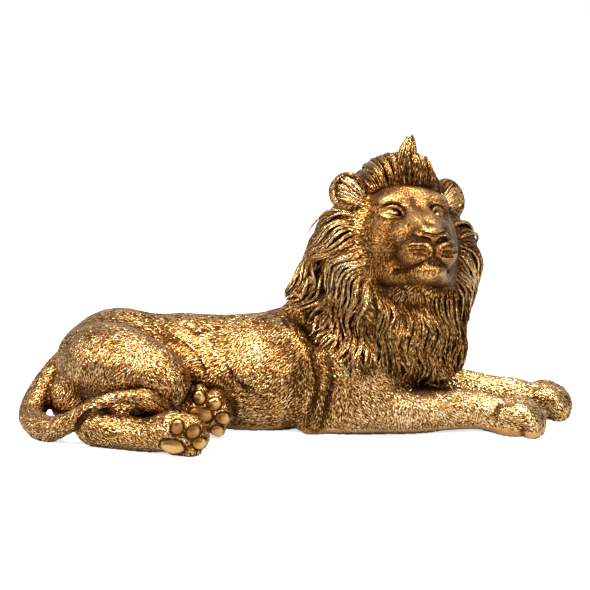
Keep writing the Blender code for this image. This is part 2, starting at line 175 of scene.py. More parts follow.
# A ball given on the head's own axes.
def headBall(centre, radii, blend, turn=(0, 0, 0), cut=False):
    return ball(onHead(centre), radii, blend, turned(*turn, base=headFrame), cut)


# The same for the features of the face, which lie a little aside of the skull's middle.
def faceLimb(points, blend, cut=False):
    return headLimb([(f, s + head["aside"], u, r) for f, s, u, r in points], blend, cut)


def faceBall(centre, radii, blend, turn=(0, 0, 0), cut=False):
    f, s, u = centre
    return headBall((f, s + head["aside"], u), radii, blend, turn, cut)


# The body

def trunkMasses():
    return [
        ball((-28, -1, 33.5), (70, 51, 45.5), 10),
        ball((-84, 1, 36), (56, 44, 43.5), 12),
        ball((-132, 2, 38), (46, 44, 44.5), 12),
        limb([(-60, 0, 57, 16), (-20, 0, 60, 18), (14, 1, 69, 20), (40, 2, 90, 26)], 12),
        ball((46, -1, 36), (44, 46, 46), 12),
    ]


# The folds of the skin on both sides: before the haunch, over the ribs and behind the shoulder.
def flankFolds():
    folds = (
        ([(-126, 22, 90, 3), (-108, 30, 80, 4.5), (-88, 45, 68, 5), (-70, 50, 52, 5)], 7, True),
        ([(-76, 38, 79, 2), (-69, 43, 73, 3), (-62, 42, 76, 2.5), (-46, 38, 80, 1.5)], 5, True),
        ([(-47, 52, 60, 2), (-46, 54, 46, 3.2), (-38, 53, 34, 3.2), (-19, 53, 23, 2.4)], 6, True),
        ([(-27, 52, 62, 1.6), (-24, 55, 50, 2), (-14, 55, 37, 1.8)], 5, True),
        ([(-4, 24, 62, 12), (-2, 35, 44, 15.5), (-4, 35, 22, 14)], 12, False),
        ([(-14, 16, 72, 4.6), (1, 34, 71, 5.4), (12, 45, 58, 5.8), (16, 47, 42, 5.8), (14, 45, 24, 5.4),
          (12, 41, 8, 5)], 15, False),
        ([(-6, 18, 91, 2), (9, 39, 79, 2.6), (21, 50, 62, 3.2), (25, 53, 44, 3.2), (22, 51, 26, 2.6),
          (18, 49, 8, 2.4)], 6, True),
    )
    return [limb(sided(points, s), blend, cut=cut) for s in (-1, 1) for points, blend, cut in folds]


# Four toes side by side on a broad paw whose middle is at x, y.
def frontPaw(x, y):
    masses = [ball((x - 4, y, 9), (17, 16.5, 16), 5)]
    for place, length in ((-1.5, 9), (-0.5, 12.5), (0.5, 12.5), (1.5, 9)):
        out = y + place * 8
        masses.append(
            limb([(x - 12, y + place * 6, 16.5, 6.5), (x + length - 9, out, 17.5, 7.6),
                  (x + length - 1, out + place, 11, 7.6), (x + length - 0.5, out + place, 4, 6.5)], 2.4)
        )
    return masses


def forelegMasses():
    return [
        ball((46, -36, 42), (33, 20, 33), 10, turned(0, 12, 0)),
        limb([(24, -33, 13, 15), (54, -36, 20, 20), (90, -32, 17, 17), (118, -25, 16, 15),
              (137, -22, 15, 14), (152, -24, 12, 13)], 8),
        ball((46, 36, 42), (33, 20, 33), 10, turned(0, 12, 0)),
        limb([(28, 36, 14, 15), (68, 36, 21, 19), (116, 29, 18, 17), (146, 25, 15.5, 14.5),
              (163, 23, 15, 14), (176, 23, 12, 13)], 8),
    ] + frontPaw(167.5, -26) + frontPaw(189, 23)


sole = {
    "toe": (8.2, 10.2, 7),
    "toePad": (5.0, 2.1, 4.2), "toePadOut": 8.2,
    "heelPad": (8.4, 2.4, 5.2), "heelPadOut": 10.0,
    "rim": 1.3, "rimDepth": 3.0, "rimOut": 3.4,     # the groove round each pad
    "padBlend": 0.6,                    # by which padGap finds the pads
}


# A smooth pad in a shallow groove, facing -Y of its axes.
def pad(centre, radii, axes):
    rim = (radii[0] + sole["rim"], sole["rimDepth"], radii[2] + sole["rim"])
    before = centre + axes @ np.array((0, -sole["rimOut"], 0))
    return [ball(before, rim, sole["padBlend"], axes, cut=True), ball(centre, radii, sole["padBlend"], axes)]


# A paw on its side, its sole facing -Y: the heel pad and the toes are given as x, z on the sole.
# Only the first pads toes show a pad, and any further one is turned under.
def hindPaw(middle, turn, lean, heel, toes, pads):
    axes = turned(turn, 0, lean)

    def laid(x, y, z):
        return np.array(middle) + axes @ np.array((x, y, z), float)

    masses = [ball(laid(0, 0, 0), (17.5, 12.5, 15.5), 5, axes)]
    spots = []
    for x, z in toes:
        angle = math.degrees(math.atan2(z - heel[1], x - heel[0]))
        spots.append((x, z, axes @ turned(0, -angle, 0)))
        masses.append(ball(laid(x * 0.92, 0, z * 0.92), sole["toe"], 2.6, spots[-1][2]))
    for x, z, ways in spots[:pads]:
        masses += pad(laid(x, -sole["toePadOut"], z), sole["toePad"], ways)
    return masses + pad(laid(heel[0], -sole["heelPadOut"], heel[1]), sole["heelPad"], axes @ turned(0, 12, 0))


def hindlegMasses():
    masses = [
        limb([(-150, -18, 47, 27), (-130, -42, 49, 31), (-104, -58, 46, 26), (-90, -64, 42, 20)], 9),
        ball((-153, -28, 20), (28, 26, 26), 8),
        limb([(-92, -64, 32, 14), (-114, -72, 23, 12.5), (-136, -80, 17, 13)], 5),
        limb([(-138, -84, 15, 15), (-116, -90, 12.6, 12.8), (-96, -96, 12.8, 12.6), (-82, -99, 16, 15)], 4),
        limb([(-118, -46, 20, 18), (-90, -54, 18, 15), (-66, -58, 20, 13)], 4),
        limb([(-150, 26, 36, 28), (-122, 38, 30, 28), (-92, 44, 22, 21)], 10),
        limb([(-100, 50, 12, 14), (-128, 50, 11, 13), (-146, 44, 10, 12)], 6),
        limb([(-174, -60, 60, 2.4), (-158, -72, 54, 3.4), (-140, -79, 52, 3.4), (-124, -88, 55, 2.4)],
             7, cut=True),
    ]
    masses += hindPaw((-70.5, -100, 14), 10, 0, (-10, -5.5), ((-6.5, 8), (4.8, 4.4), (9, -4), (3, -12)), 3)
    return masses + hindPaw((-58.5, -58, 20), 6, 6, (-5.5, 1.5), ((-7, 14), (4, 9), (10, -2), (6, -12)), 4)


def tailMasses():
    return [
        limb([(-169, 3, 42, 13), (-181, -10, 31, 12), (-189, -28, 20, 11), (-191, -46, 12, 10.4),
              (-184, -62, 9, 10.2), (-173, -73, 9, 9.8), (-161, -82, 14.5, 8.4), (-150, -88, 22, 7),
              (-139, -90, 30, 6), (-128, -91, 35.6, 5.4), (-118, -91, 38.2, 5.2), (-108, -90, 38.6, 5.6),
              (-99, -87, 35, 6.4), (-91, -83, 28.5, 6.4), (-84, -79, 21, 4.6)], 2),
    ]


# The head

def skullMasses():
    masses = [
        headBall((-34, 0, 0), (36, 34, 33), 8),
        headBall((-16, 0, 9), (20, 28, 18), 8),
        headBall((3, 0, -15), (24, 19, 17), 7),
        faceBall((12, 1, -16), (22, 12, 11), 5, (0, 38, 0)),
        headBall((15, 0, -31), (20, 18.5, 12), 5),
        faceBall((19, 1, -45), (13, 13.5, 8.2), 3),
    ]
    for side in (-1, 1):
        masses += [
            faceLimb([(0, side * 5.5, 6, 6), (5, side * 6, 1, 6), (16, side * 6.2, -8, 5.6),
                      (28.5, side * 5.4, -17, 4.6)], 4),
            headBall((-3, side * 15.5, 9), (7.6, 11.5, 6.5), 8, (0, 0, side * 10)),
            headBall((6, side * 14, -17), (15, 9, 12), 7),
            headBall((-12, side * 20, -18), (20, 14.5, 24), 8),
            headBall((20, side * 9, -31), (16.5, 11.6, 10.6), 6, (side * -8, -10, 0)),
            headLimb([(-20, side * 23, -34, 12), (-2, side * 17, -42, 9.5), (11, side * 8, -45, 7.5)], 6),
        ]
    return masses


eyeBlends = (0.5, 0.4)                  # the eyeball's and the iris's, by which smoothSkin finds them


def eyeMasses():
    lids = (
        [(-2.2, 25.6, 0.4, 0.9), (1.9, 22.6, 3.3, 1.3), (5, 18.8, 4.7, 1.6), (7, 15, 4, 1.4),
         (8.6, 12.2, 1.6, 1.1), (10.6, 11, -2.8, 0.8)],
        [(-2.2, 25.6, 0.2, 0.9), (1.6, 22.6, -2.1, 1.1), (4.3, 18.8, -3.1, 1.3), (6.6, 15, -3.2, 1.1),
         (9, 12.4, -3.8, 0.9), (11.6, 11.4, -5.6, 0.7)],
    )
    duct = [(9.4, 11.8, -1.5, 1), (12.6, 11.4, -6, 1.1), (16.5, 12.4, -12, 0.8)]
    masses = []
    for s in (-1, 1):
        masses += [
            faceBall((5.8, s * 18.9, 1.2), (6.4, 8.6, 4.5), 3.4, (s * 12, 0, s * 8), True),
            faceLimb(sided(duct, s), 3.5, True),
            faceBall((-1.1, s * 16.4, 0.7), (6.2, 9.5, 6), eyeBlends[0], (s * 25, 0, 0)),
            faceBall((1.7, s * 17.6, 0.9), (4, 4.2, 3.8), eyeBlends[1]),
        ] + [faceLimb(sided(lid, s), 1) for lid in lids]
    return masses


# A groove along some places, each first brought onto the skin of the given masses
def groove(points, masses, blend):
    p = np.array([spot[:3] for spot in points], float)
    for _ in range(4):
        gap, outward = gapAndSlope(p, masses)
        p = p - gap[:, None] * outward
    return limb(np.column_stack([p, [spot[3] for spot in points]]), blend, cut=True)


def faceGroove(points, masses, blend):
    return groove([(*onHead((f, s + head["aside"], u)), r) for f, s, u, r in points], masses, blend)


def noseAndMouth():
    masses = [faceBall((30.5, 0, -20), (7.6, 11, 6), 2.5, (0, 30, 0))]
    for s in (-1, 1):
        masses.append(faceBall((30, s * 9.4, -21.3), (6.5, 4, 4.6), 2))
    form = skullMasses() + masses
    masses.append(faceGroove([(37, 0, -28, 0.6), (36.6, 0, -33, 0.8), (35, 0, -37.8, 0.8)], form, 0.8))
    for s in (-1, 1):
        noseTop = [(33, 10.6, -18.2, 0.4), (35.6, 7.6, -19.8, 0.9), (37.3, 3.8, -21.5, 1),
                   (37.8, 0, -22.4, 1)]
        nostril = [(27.4, 13.4, -19.4, 0.8), (31, 11.2, -21.8, 1.3), (34.2, 8, -23.6, 1.8),
                   (36.2, 4.8, -25.4, 1.7), (36.9, 2.6, -27.6, 1.1), (37, 0.8, -30, 0.8)]
        mouth = [(36, 0, -37.8, 0.8), (33.4, 3.4, -39.2, 0.9), (29, 8, -40.9, 0.9), (22, 12.8, -42.6, 0.9),
                 (15.4, 15.8, -43.2, 1), (10, 18, -43.2, 1.5), (7.4, 18.8, -42.8, 1.9 - 0.4 * s)]
        for points, blend in ((noseTop, 0.7), (nostril, 0.7), (mouth, 0.6)):
            masses.append(faceGroove(sided(points, s), form, blend))
    return masses


def earMasses():
    masses = []
    for s in (-1, 1):
        u = earHeight(s)
        masses += [
            headBall((-25, s * 40 - 2, u), (9, 14.5, 16), 4, (s * 24, -12, 0)),
            headBall((-16.5, s * 42.4 - 2, u + 1.5), (9, 10.5, 12), 2, (s * 24, -12, 0), True),
            headLimb([(-24, s * 31 - 2, 10, 6), (-21, s * 35 - 2, 13, 4), (-21, s * 38 - 2, 16, 2.5)], 4),
        ]
    return masses


# The mane

def maneMasses():
    return [
        ball((72, 3, 120), (51, 42, 44), 10),
        limb([(-2, 2, 72, 13), (21, 3, 92, 22), (37, 4, 116, 25.5), (48, 4, 141, 26)], 10),
        ball((76, -1, 70), (38, 43, 44), 10),
        limb([(94, -6, 120, 28), (97, -8, 96, 26), (99, -8, 74, 25), (102, -8, 52, 19)], 8),
        headBall((-36, 2, -10), (18, 45, 44), 6),
        ball((31, -8, 138), (18, 20, 24), 8),
        ball((107, -17, 46), (11, 11, 13), 5),
        limb([(50, -14, 158, 16), (47, -20, 136, 20), (50, -24, 112, 23), (58, -27, 88, 23),
              (72, -28, 70, 20)], 10),
        limb([(108, 8, 148, 13), (114, 9, 127, 18.5), (107, 12, 104, 23), (94, 18, 82, 23),
              (84, 24, 62, 22)], 10),
    ]


# Strands swept up and back from the hairline, drawn together into one pointed tuft.
def crestMasses():
    return [
        limb([(41, 3, 168, 9.5), (50, -1, 176, 9.5), (60, -4, 181, 10), (71, -6, 184, 10.5),
              (84, -7, 184, 10.5), (93, -4, 182, 9), (99, 1, 179, 7)], 4),
        limb([(79, -10, 188, 8), (82, -12, 199, 5), (84, -13, 206, 3.2), (85, -13, 212, 2)], 4),
    ]


# The skin over the masses

# How far each point is outside one mass.
def gapTo(mass, p):
    if mass["kind"] == "ball":
        q = (p - mass["centre"]) @ mass["axes"]
        near = np.linalg.norm(q / mass["radii"], axis=1)
        slope = np.linalg.norm(q / mass["radii"] ** 2, axis=1)
        return near * (near - 1) / np.maximum(slope, 1e-9)
    best = np.full(len(p), np.inf)
    path = mass["path"]
    for a, b in zip(path[:-1], path[1:]):
        along = b[:3] - a[:3]
        t = np.clip((p - a[:3]) @ along / max(along @ along, 1e-9), 0, 1)
        away = np.linalg.norm(p - a[:3] - t[:, None] * along, axis=1)
        best = np.minimum(best, away - a[3] - t * (b[3] - a[3]))
    return best


# How far each point is outside all the masses, melted into each other by each one's blend.
def gapToSkin(p, masses):
    gap = np.full(len(p), 60.0)
    for mass in masses:
        bound = np.linalg.norm(p - mass["centre"], axis=1) - mass["reach"]
        close = bound < (mass["blend"] - gap if mass["cut"] else mass["blend"] + gap)
        if not close.any():
            continue
        k = -mass["blend"] if mass["cut"] else mass["blend"]
        here, other = gap[close], gapTo(mass, p[close])
        if mass["cut"]:
            other = -other
        h = np.clip(0.5 + 0.5 * (here - other) / k, 0, 1)
        gap[close] = here * (1 - h) + other * h - k * h * (1 - h)
    return np.maximum(gap, -p[:, 2])


# The gap at each point and the outward direction of the skin there.
def gapAndSlope(p, masses, reach=0.5):
    gap = gapToSkin(p, masses)
    lean = np.stack([gapToSkin(p + reach * way, masses) - gap for way in np.eye(3)], 1)
    return gap, unit(lean)


def unit(v):
    return v / np.maximum(np.linalg.norm(v, axis=-1, keepdims=True), 1e-9)


# 0 before the start, 1 a run further on and evenly between; a run below 0 goes the other way.
def fade(x, start, run):
    return np.clip((x - start) / run, 0, 1)


# How far along a curve each of its points lies
def runAlong(curve):
    return np.concatenate([[0], np.cumsum(np.linalg.norm(np.diff(curve, axis=0), axis=1))])


# The rows of a table read between them; marks say where its rows lie, by default at 0, 1, 2 and so on.
def readAt(table, stops, marks=None):
    marks = np.arange(len(table)) if marks is None else marks
    return np.stack([np.interp(stops, marks, column) for column in table.T], 1)


# Locks of hair

# The way the mane lies: away from the face, then down and back, in waves.
def hairFlow(p, outward):
    f, s, u = fromHead(p)
    ring = np.hypot(s, u + 12)
    fresh = fade(ring, 84, -40) * fade(f, -66, 34) * fade(u, -80, 40)
    away = unit(np.stack([-0.35 * ring, s, u + 12], 1)) @ headFrame.T
    behind = fade(p[:, 0], 50, -50)
    fall = np.stack([-0.8 * behind, 0 * behind, -1 + 0.3 * behind], 1)
    way = fresh[:, None] * away + (1.1 - fresh)[:, None] * fall
    way = unit(way - (way * outward).sum(1, keepdims=True) * outward)
    swing = 0.45 * np.sin(p[:, 2] / 5.6 + p[:, 0] / 16 + p[:, 1] / 21)
    return unit(way + swing[:, None] * np.cross(outward, way))


# How low the mane reaches at each place along the lion.
def maneEdge(x):
    return np.interp(x, (-14, 0, 20, 42, 78, 100, 126), (99, 86, 63, 48, 44, 36, 42))


# Places all over the mane, in rows from the crown down to the chest, staggered from row to row.
def maneRoots(masses, spacing):
    centre, way = [], []
    rows = [(170, 55), (164, 20)] + [(z, -6) for z in np.arange(144, 58, -hair["rowDrop"])]
    for row, (z, lift) in enumerate(rows):
        x = np.interp(z, (50, 90, 130, 170), (82, 62, 62, 72))
        flat = math.cos(math.radians(lift))
        count = int(2 * math.pi * hair["maneRadius"] * flat / spacing)
        for i in range(count):
            turn = 2 * math.pi * (i + 0.5 * (row % 2)) / count
            centre.append((x, -2, z))
            way.append((flat * math.cos(turn), flat * math.sin(turn), math.sin(math.radians(lift))))
    centre, way = np.array(centre, float), np.array(way)
    p = centre + hair["farOut"] * way
    for _ in range(hair["traceSteps"]):
        p = p - hair["traceShare"] * gapToSkin(p, masses)[:, None] * way
    f, s, u = fromHead(p)
    onFace = (f > -20) & (np.abs(s) < 44) & (u > -62) & (u < 30)
    onEar = (fromEar(s, u) < 18) & (f > -48)
    onCrest = (u > 24) & (f > -46)
    low = p[:, 2] < maneEdge(p[:, 0]) + 12
    rows = p[~(onFace | onEar | onCrest | low) & (p[:, 0] > -6)]
    return np.vstack([faceEdgeRoots(), rows])


# Places along the edge of the face, from below one ear round under the chin to the other.
def faceEdgeRoots():
    edge = smoothPath([(-15, -36, -7, 0), (-14, -34, -21, 0), (-14, -29, -36, 0), (-16, -20, -52, 0),
                        (-20, -10, -62, 0), (-21, 0, -65, 0)], steps=8)[:, :3]
    edge = np.vstack([edge, edge[-2::-1] * (1, -1, 1)])
    run = runAlong(edge)
    stops = np.linspace(0, run[-1], int(run[-1] / hair["spacing"]))
    return np.array([onHead(edge[np.searchsorted(run, stop)]) for stop in stops])


# Small things that only the fine skin can hold: creases of the hide, the rows on the muzzle, the toes
def fineDetails():
    creases = [
        ([(-122, -4, 81, 0.3), (-109, -14, 76.5, 0.7), (-95, -27, 68.5, 0.8), (-86, -32, 64.5, 0.8),
          (-78, -38, 58.5, 0.3)], 1.6),
        ([(-112, -4, 79, 0.3), (-103, -13, 76.5, 0.7), (-92, -25, 70.5, 0.8), (-81, -32, 64.5, 0.8),
          (-73, -37, 59.5, 0.8), (-67, -41, 52.5, 0.7), (-63, -44, 46, 0.3)], 1.6),
        ([(-79, -19, 75, 0.3), (-72, -25, 70.5, 0.8), (-67, -22, 72.5, 0.8), (-55, -19, 74, 0.3)], 1.6),
        ([(-46, -46.5, 50, 0.3), (-42, -49.5, 43, 0.7), (-37, -50.5, 38, 0.8), (-28, -51.5, 36, 0.3)], 2),
        ([(-54, -47.5, 43, 0.3), (-46, -49.5, 37, 0.7), (-41, -50.5, 32, 0.3)], 2),
        ([(-8, -18, 81, 0.3), (0, -39.5, 77, 0.9), (8, -47.5, 71, 1), (16, -51.5, 62, 1),
          (19, -53.5, 51, 0.8), (21, -53.5, 38, 0.3)], 1.6),
        ([(15, -53, 24, 0.6), (14.5, -52, 14, 1.6), (14.5, -50, 2, 2.2)], 1.6),
        ([(160, -42.5, 23, 0.4), (165, -45.5, 20, 0.9), (170, -47.5, 16, 1), (171.5, -47.5, 6, 0.9)], 1.4),
        ([(147.5, -38, 19, 0.3), (153.5, -42.5, 16, 0.8), (157, -43, 11, 0.9), (158, -43, 4, 0.8)], 1.4),
        ([(-131, -94, 29, 1), (-124, -93, 29.5, 1.8), (-116, -92, 29.5, 2.2), (-108, -92, 29, 2),
          (-100, -94, 27, 1)], 1),
    ]
    cuts = [limb(points, blend, cut=True) for points, blend in creases]
    cuts.append(groove([(-136, -96, 31, 0.6), (-141, -97, 27, 1.4), (-145.8, -97, 22.5, 1.8),
                        (-149.4, -96, 17.5, 1.8), (-152, -95, 12, 1.2)], broadMasses, 1.2))
    rows = (
        ((27.4, 14.8, -25.2), (30.6, 12.9, -25.3), (33.9, 9.9, -25.8), (35.8, 7.0, -26.7)),
        ((26.7, 16.3, -28.2), (30.8, 14.2, -28.7), (34.1, 11.3, -29.3), (36.3, 6.9, -30.4)),
        ((28.1, 16.0, -31.2), (31.5, 13.6, -32.0), (34.1, 10.4, -32.7), (35.6, 6.7, -33.3)),
        ((29.7, 14.1, -34.4), (31.9, 11.8, -34.8), (33.4, 9.2, -35.4), (34.0, 6.2, -36.0)),
    )
    for s in (-1, 1):
        for number, row in enumerate(rows):
            sizes = (0.4, 0.9, 0.9, 0.5) if number % 2 else (0.6, 0.7, 1.0, 0.4)
            line = [(f, s * out, u, r) for (f, out, u), r in zip(row, sizes)]
            cuts.append(faceGroove(line, broadMasses, 0.6))
        crease = [(-0.6, 23.6, 2.2, 0.3), (3, 19.6, 3.6, 0.6), (5, 16, 3, 0.6), (6.6, 13.6, 0.6, 0.4)]
        cuts.append(faceLimb(sided(crease, s), 0.5, cut=True))
    return cuts


underHair = trunkMasses() + forelegMasses() + skullMasses() + maneMasses()
broadMasses = (underHair + flankFolds() + hindlegMasses() + tailMasses() + eyeMasses() + noseAndMouth()
               + earMasses() + crestMasses())
skinMasses = broadMasses + fineDetails()


# Meshes: pulled onto the skin a little at a time

# A new object with a bmesh's shape, which is freed
def placed(name, bm):
    mesh = bpy.data.meshes.new(name)
    bm.to_mesh(mesh)
    bm.free()
    piece = bpy.data.objects.new(name, mesh)
    scene.collection.objects.link(piece)
    return piece


def triangles(mesh):
    return sum(len(face.vertices) - 2 for face in mesh.polygons)


def applyModifiers(piece):
    graph = bpy.context.evaluated_depsgraph_get()
    mesh = bpy.data.meshes.new_from_object(piece.evaluated_get(graph))
    piece.modifiers.clear()
    piece.data = mesh


def remesh(piece, voxel):
    step = piece.modifiers.new("Remesh", "REMESH")
    step.mode = "VOXEL"
    step.voxel_size = voxel
    applyModifiers(piece)


def roughForm(name, masses, voxel):
    bm = bmesh.new()
    for mass in masses:
        if mass["cut"]:
            continue
        if mass["kind"] == "ball":
            put = Matrix.Translation(mass["centre"]) @ Matrix(mass["axes"]).to_4x4()
            put = put @ Matrix.Diagonal((*mass["radii"], 1))
            bmesh.ops.create_icosphere(bm, subdivisions=3, radius=1, matrix=put)
            continue
        last = np.full(3, np.inf)
        for x, y, z, r in mass["path"]:
            if np.linalg.norm(last - (x, y, z)) < 0.35 * r:
                continue
            last = np.array((x, y, z))
            bmesh.ops.create_icosphere(bm, subdivisions=2, radius=r, matrix=Matrix.Translation((x, y, z)))
    piece = placed(name, bm)
    remesh(piece, voxel)
    return piece


def places(mesh, what="co"):
    found = np.empty(len(mesh.vertices) * 3)
    mesh.vertices.foreach_get(what, found)
    return found.reshape(-1, 3)


def putPlaces(mesh, p):
    mesh.vertices.foreach_set("co", p.ravel())
    mesh.update()


def edgeEnds(mesh):
    ends = np.empty(len(mesh.edges) * 2, int)
    mesh.edges.foreach_get("vertices", ends)
    return ends.reshape(-1, 2)


# Each value moved towards the mean of its neighbours
def evened(values, ends, share):
    here = np.concatenate([ends[:, 0], ends[:, 1]])
    there = np.concatenate([ends[:, 1], ends[:, 0]])
    count = np.maximum(np.bincount(here, minlength=len(values)), 1)
    middle = [np.bincount(here, values[there, i], len(values)) / count for i in range(values.shape[1])]
    return values + share * (np.stack(middle, 1) - values)


def settle(piece, masses, rounds, reach, relaxed=2, chosen=None):
    mesh = piece.data
    ends = edgeEnds(mesh)
    for step in range(rounds):
        p = places(mesh)
        if step < rounds - relaxed:
            even = evened(p, ends, 0.5)
            p = even if chosen is None else np.where(chosen[:, None], even, p)
            putPlaces(mesh, p)
        normal = places(mesh, "normal")
        pick = np.arange(len(p)) if chosen is None else np.flatnonzero(chosen)
        gap = np.clip(gapToSkin(p[pick], masses), -reach, reach)
        p[pick] -= gap[:, None] * normal[pick]
        putPlaces(mesh, p)


# Cuts every face of the chosen vertices into four
def refine(piece, chosen):
    bm = bmesh.new()
    bm.from_mesh(piece.data)
    bm.verts.ensure_lookup_table()
    picked = set()
    for face in bm.faces:
        if all(chosen[vert.index] for vert in face.verts):
            picked.update(face.edges)
    bmesh.ops.subdivide_edges(bm, edges=list(picked), cuts=1, use_grid_fill=True)
    bm.to_mesh(piece.data)
    bm.free()


# The camera looks from the lion's right, a little towards its head
shot = {
    "azimuth": 4.0,
    "elevation": 12.0,
    "distance": 1600.0,
    "target": (0.0, 0.0, 95.0),         # on the figure's grid
    "scale": 1.346,                     # pixels of the photograph in one unit at the target
    "frame": 590,                       # pixels across the photograph
    "sensor": 36,
}


def shotAxes():
    a, e = math.radians(shot["azimuth"]), math.radians(shot["elevation"])
    back = np.array((math.sin(a) * math.cos(e), -math.cos(a) * math.cos(e), math.sin(e)))
    return back, np.array(shot["target"]) + shot["distance"] * back


# Where the skin faces the camera, or turns away from it by no more than a small share
def facesShot(p, n, away=0.0):
    eye = shotAxes()[1]
    return (n * (eye - p)).sum(1) > -away * np.linalg.norm(eye - p, axis=1)


# Where the mane's locks lie over the skin, so that it needs no fine fur there
def underMane(p):
    f, s, u = fromHead(p)
    onFace = (f > -24) & (np.abs(s) < 42) & (u > -60) & (u < 32)
    onEar = (fromEar(s, u) < 22) & (f > -46)
    return (p[:, 2] > maneEdge(p[:, 0]) + 10) & (p[:, 0] > -6) & (p[:, 0] < 140) & ~onFace & ~onEar


skin = {
    "firstVoxel": 2.0,
    "voxel": 1.48,
    "underside": 0.7,                   # everything lower is laid on the floor
}


# The points that get a finer mesh: the side that the camera sees, and then the face again
def seenSide(p, n):
    return facesShot(p, n, 0.05) & ~underMane(p) & (p[:, 2] > 1.0)


def seenFace(p, n):
    f, s, u = fromHead(p)
    return (f > -4) & (np.abs(s) < 30) & (u > -50) & (u < 12) & facesShot(p, n)


def makeSkin():
    piece = roughForm("skin", skinMasses, skin["firstVoxel"])
    settle(piece, skinMasses, 6, 2.0)
    report("first form settled")
    remesh(piece, skin["voxel"])
    settle(piece, skinMasses, 3, 1.5, relaxed=1)
    report(f"skin of {len(piece.data.vertices)} points settled")
    for chosen, reach in ((seenSide, 1.0), (seenFace, 0.6)):
        refine(piece, chosen(places(piece.data), places(piece.data, "normal")))
        finer = chosen(places(piece.data), places(piece.data, "normal"))
        settle(piece, skinMasses, 2, reach, relaxed=1, chosen=finer)
        report(f"refined to {len(piece.data.vertices)} points")
    return piece


# Fur: short cut strokes that follow the lie of the coat

# Where the coat lies which way: place, direction, and how far the arrow counts
def coatArrows():
    level = [
        (-170, 0, 75, -0.8, -0.6, 22), (-130, 0, 90, -1, -0.1, 24), (-80, 0, 82, -1, 0, 24),
        (-30, 0, 84, -1, 0, 24), (0, 0, 92, -0.9, -0.3, 20), (80, -40, 40, 0.75, -0.65, 20),
        (80, -50, 12, 0.3, -0.9, 16), (120, -32, 30, 0.9, -0.4, 18), (120, -38, 8, 0.5, -0.8, 14),
        (165, -30, 25, 1, -0.1, 16), (185, -26, 10, 0.5, -0.9, 12), (80, 45, 40, 0.8, -0.6, 20),
        (130, 30, 30, 0.95, -0.3, 18), (185, 23, 25, 1, -0.2, 16), (205, 23, 8, 0.4, -0.9, 12),
        (-140, -95, 15, 0.9, -0.4, 14), (-100, -110, 15, 0.9, -0.45, 14), (-120, -95, 28, 0.95, -0.2, 12),
        (-90, -60, 25, 0.95, -0.3, 14), (-66, -62, 36, 0.9, 0.2, 14), (-120, 50, 12, 0.9, -0.3, 16),
    ]
    onBothSides = [
        (-60, 45, 60, -0.7, -0.7, 22), (-20, 50, 60, -0.6, -0.8, 22), (-60, 50, 25, -0.85, -0.5, 20),
        (-10, 52, 25, -0.75, -0.6, 20), (-30, 52, 40, -0.7, -0.7, 20), (30, 55, 60, 0.35, -0.9, 20),
        (42, 52, 30, 0.5, -0.8, 20), (-150, 35, 80, -0.8, -0.6, 22), (-110, 50, 75, -0.6, -0.7, 20),
        (-90, 70, 55, 0.25, -0.9, 16), (-130, 75, 50, -0.5, -0.85, 18), (-160, 60, 50, -0.5, -0.85, 18),
        (-180, 30, 40, -0.6, -0.8, 18),
    ]
    onTheHead = [
        (20, 0, -5, -0.8, 0, 0.6, 12), (0, 0, 14, -0.3, 0, 1, 10), (-5, 30, -10, -0.9, 0.5, -0.2, 12),
        (20, 15, -25, -0.8, 0.6, -0.3, 9), (20, 0, -52, -0.2, 0, -1, 9), (0, 18, -42, -0.6, 0.3, -0.7, 10),
        (-5, 20, 18, -0.4, 0.5, 0.8, 9), (-25, 52, 28, -0.6, 0.7, 0.4, 10),
    ]
    arrows = [((x, y, z), (along, 0, up), reach) for x, y, z, along, up, reach in level]
    for s in (-1, 1):
        arrows += [((x, s * y, z), (along, 0, up), reach) for x, y, z, along, up, reach in onBothSides]
        for x, y, z, along, aside, up, reach in onTheHead:
            arrows.append((onHead((x, s * y, z)), headFrame @ np.array((along, s * aside, up), float), reach))
    path = tailMasses()[0]["path"]
    for k in range(0, len(path) - 2, 3):
        arrows.append((path[k, :3], unit(path[k + 2, :3] - path[k, :3]), 9))
    return arrows


def coatWay(p, n):
    total = np.zeros_like(p)
    for at, way, reach in coatArrows():
        near = np.exp(-((p - np.array(at, float)) ** 2).sum(1) / reach**2) + 1e-7
        total += near[:, None] * np.array(way, float)
    total += 1e-9
    total -= (total * n).sum(1, keepdims=True) * n
    total = unit(total)
    turn = 0.35 * np.sin(p[:, 0] / 9 + 1.7 * np.sin(p[:, 2] / 13)) + 0.25 * np.sin(p[:, 2] / 7 + p[:, 1] / 11)
    return unit(total + turn[:, None] * np.cross(n, total))


coat = {
    "length": 3.9, "width": 1.45, "spacing": 1.5, "depth": 1.0,     # on the side that the camera sees
    "lengths": (0.65, 1.3), "widths": (0.8, 1.2), "bends": (-0.5, 0.5), "strengths": (0.5, 1.0),
    "fine": 0.6, "onEar": 0.75,         # strokes of the face and the ears, as a share of the body's
    "plain": 2.0,                       # those of the hidden sides
    "scatter": 0.3,                     # how far a stroke turns off the lie of the coat
    "batch": 4000,                      # strokes reckoned at a time
    "faceRelief": 0.45, "faceLift": 0.1, "cheekDrop": 0.2, "faceBare": 0.25, "legLight": 0.14,
    "seed": 7,
}


# Points spread evenly over the skin, no two nearer than each one's own spacing
def spreadOver(p, spacing, chance):
    tree = kdtree.KDTree(len(p))
    for index, point in enumerate(p):
        tree.insert(point, index)
    tree.balance()
    free = np.ones(len(p), bool)
    kept = []
    for index in chance.permutation(len(p)):
        if free[index]:
            kept.append(index)
            free[[found[1] for found in tree.find_range(p[index], spacing[index])]] = False
    return np.array(kept), tree


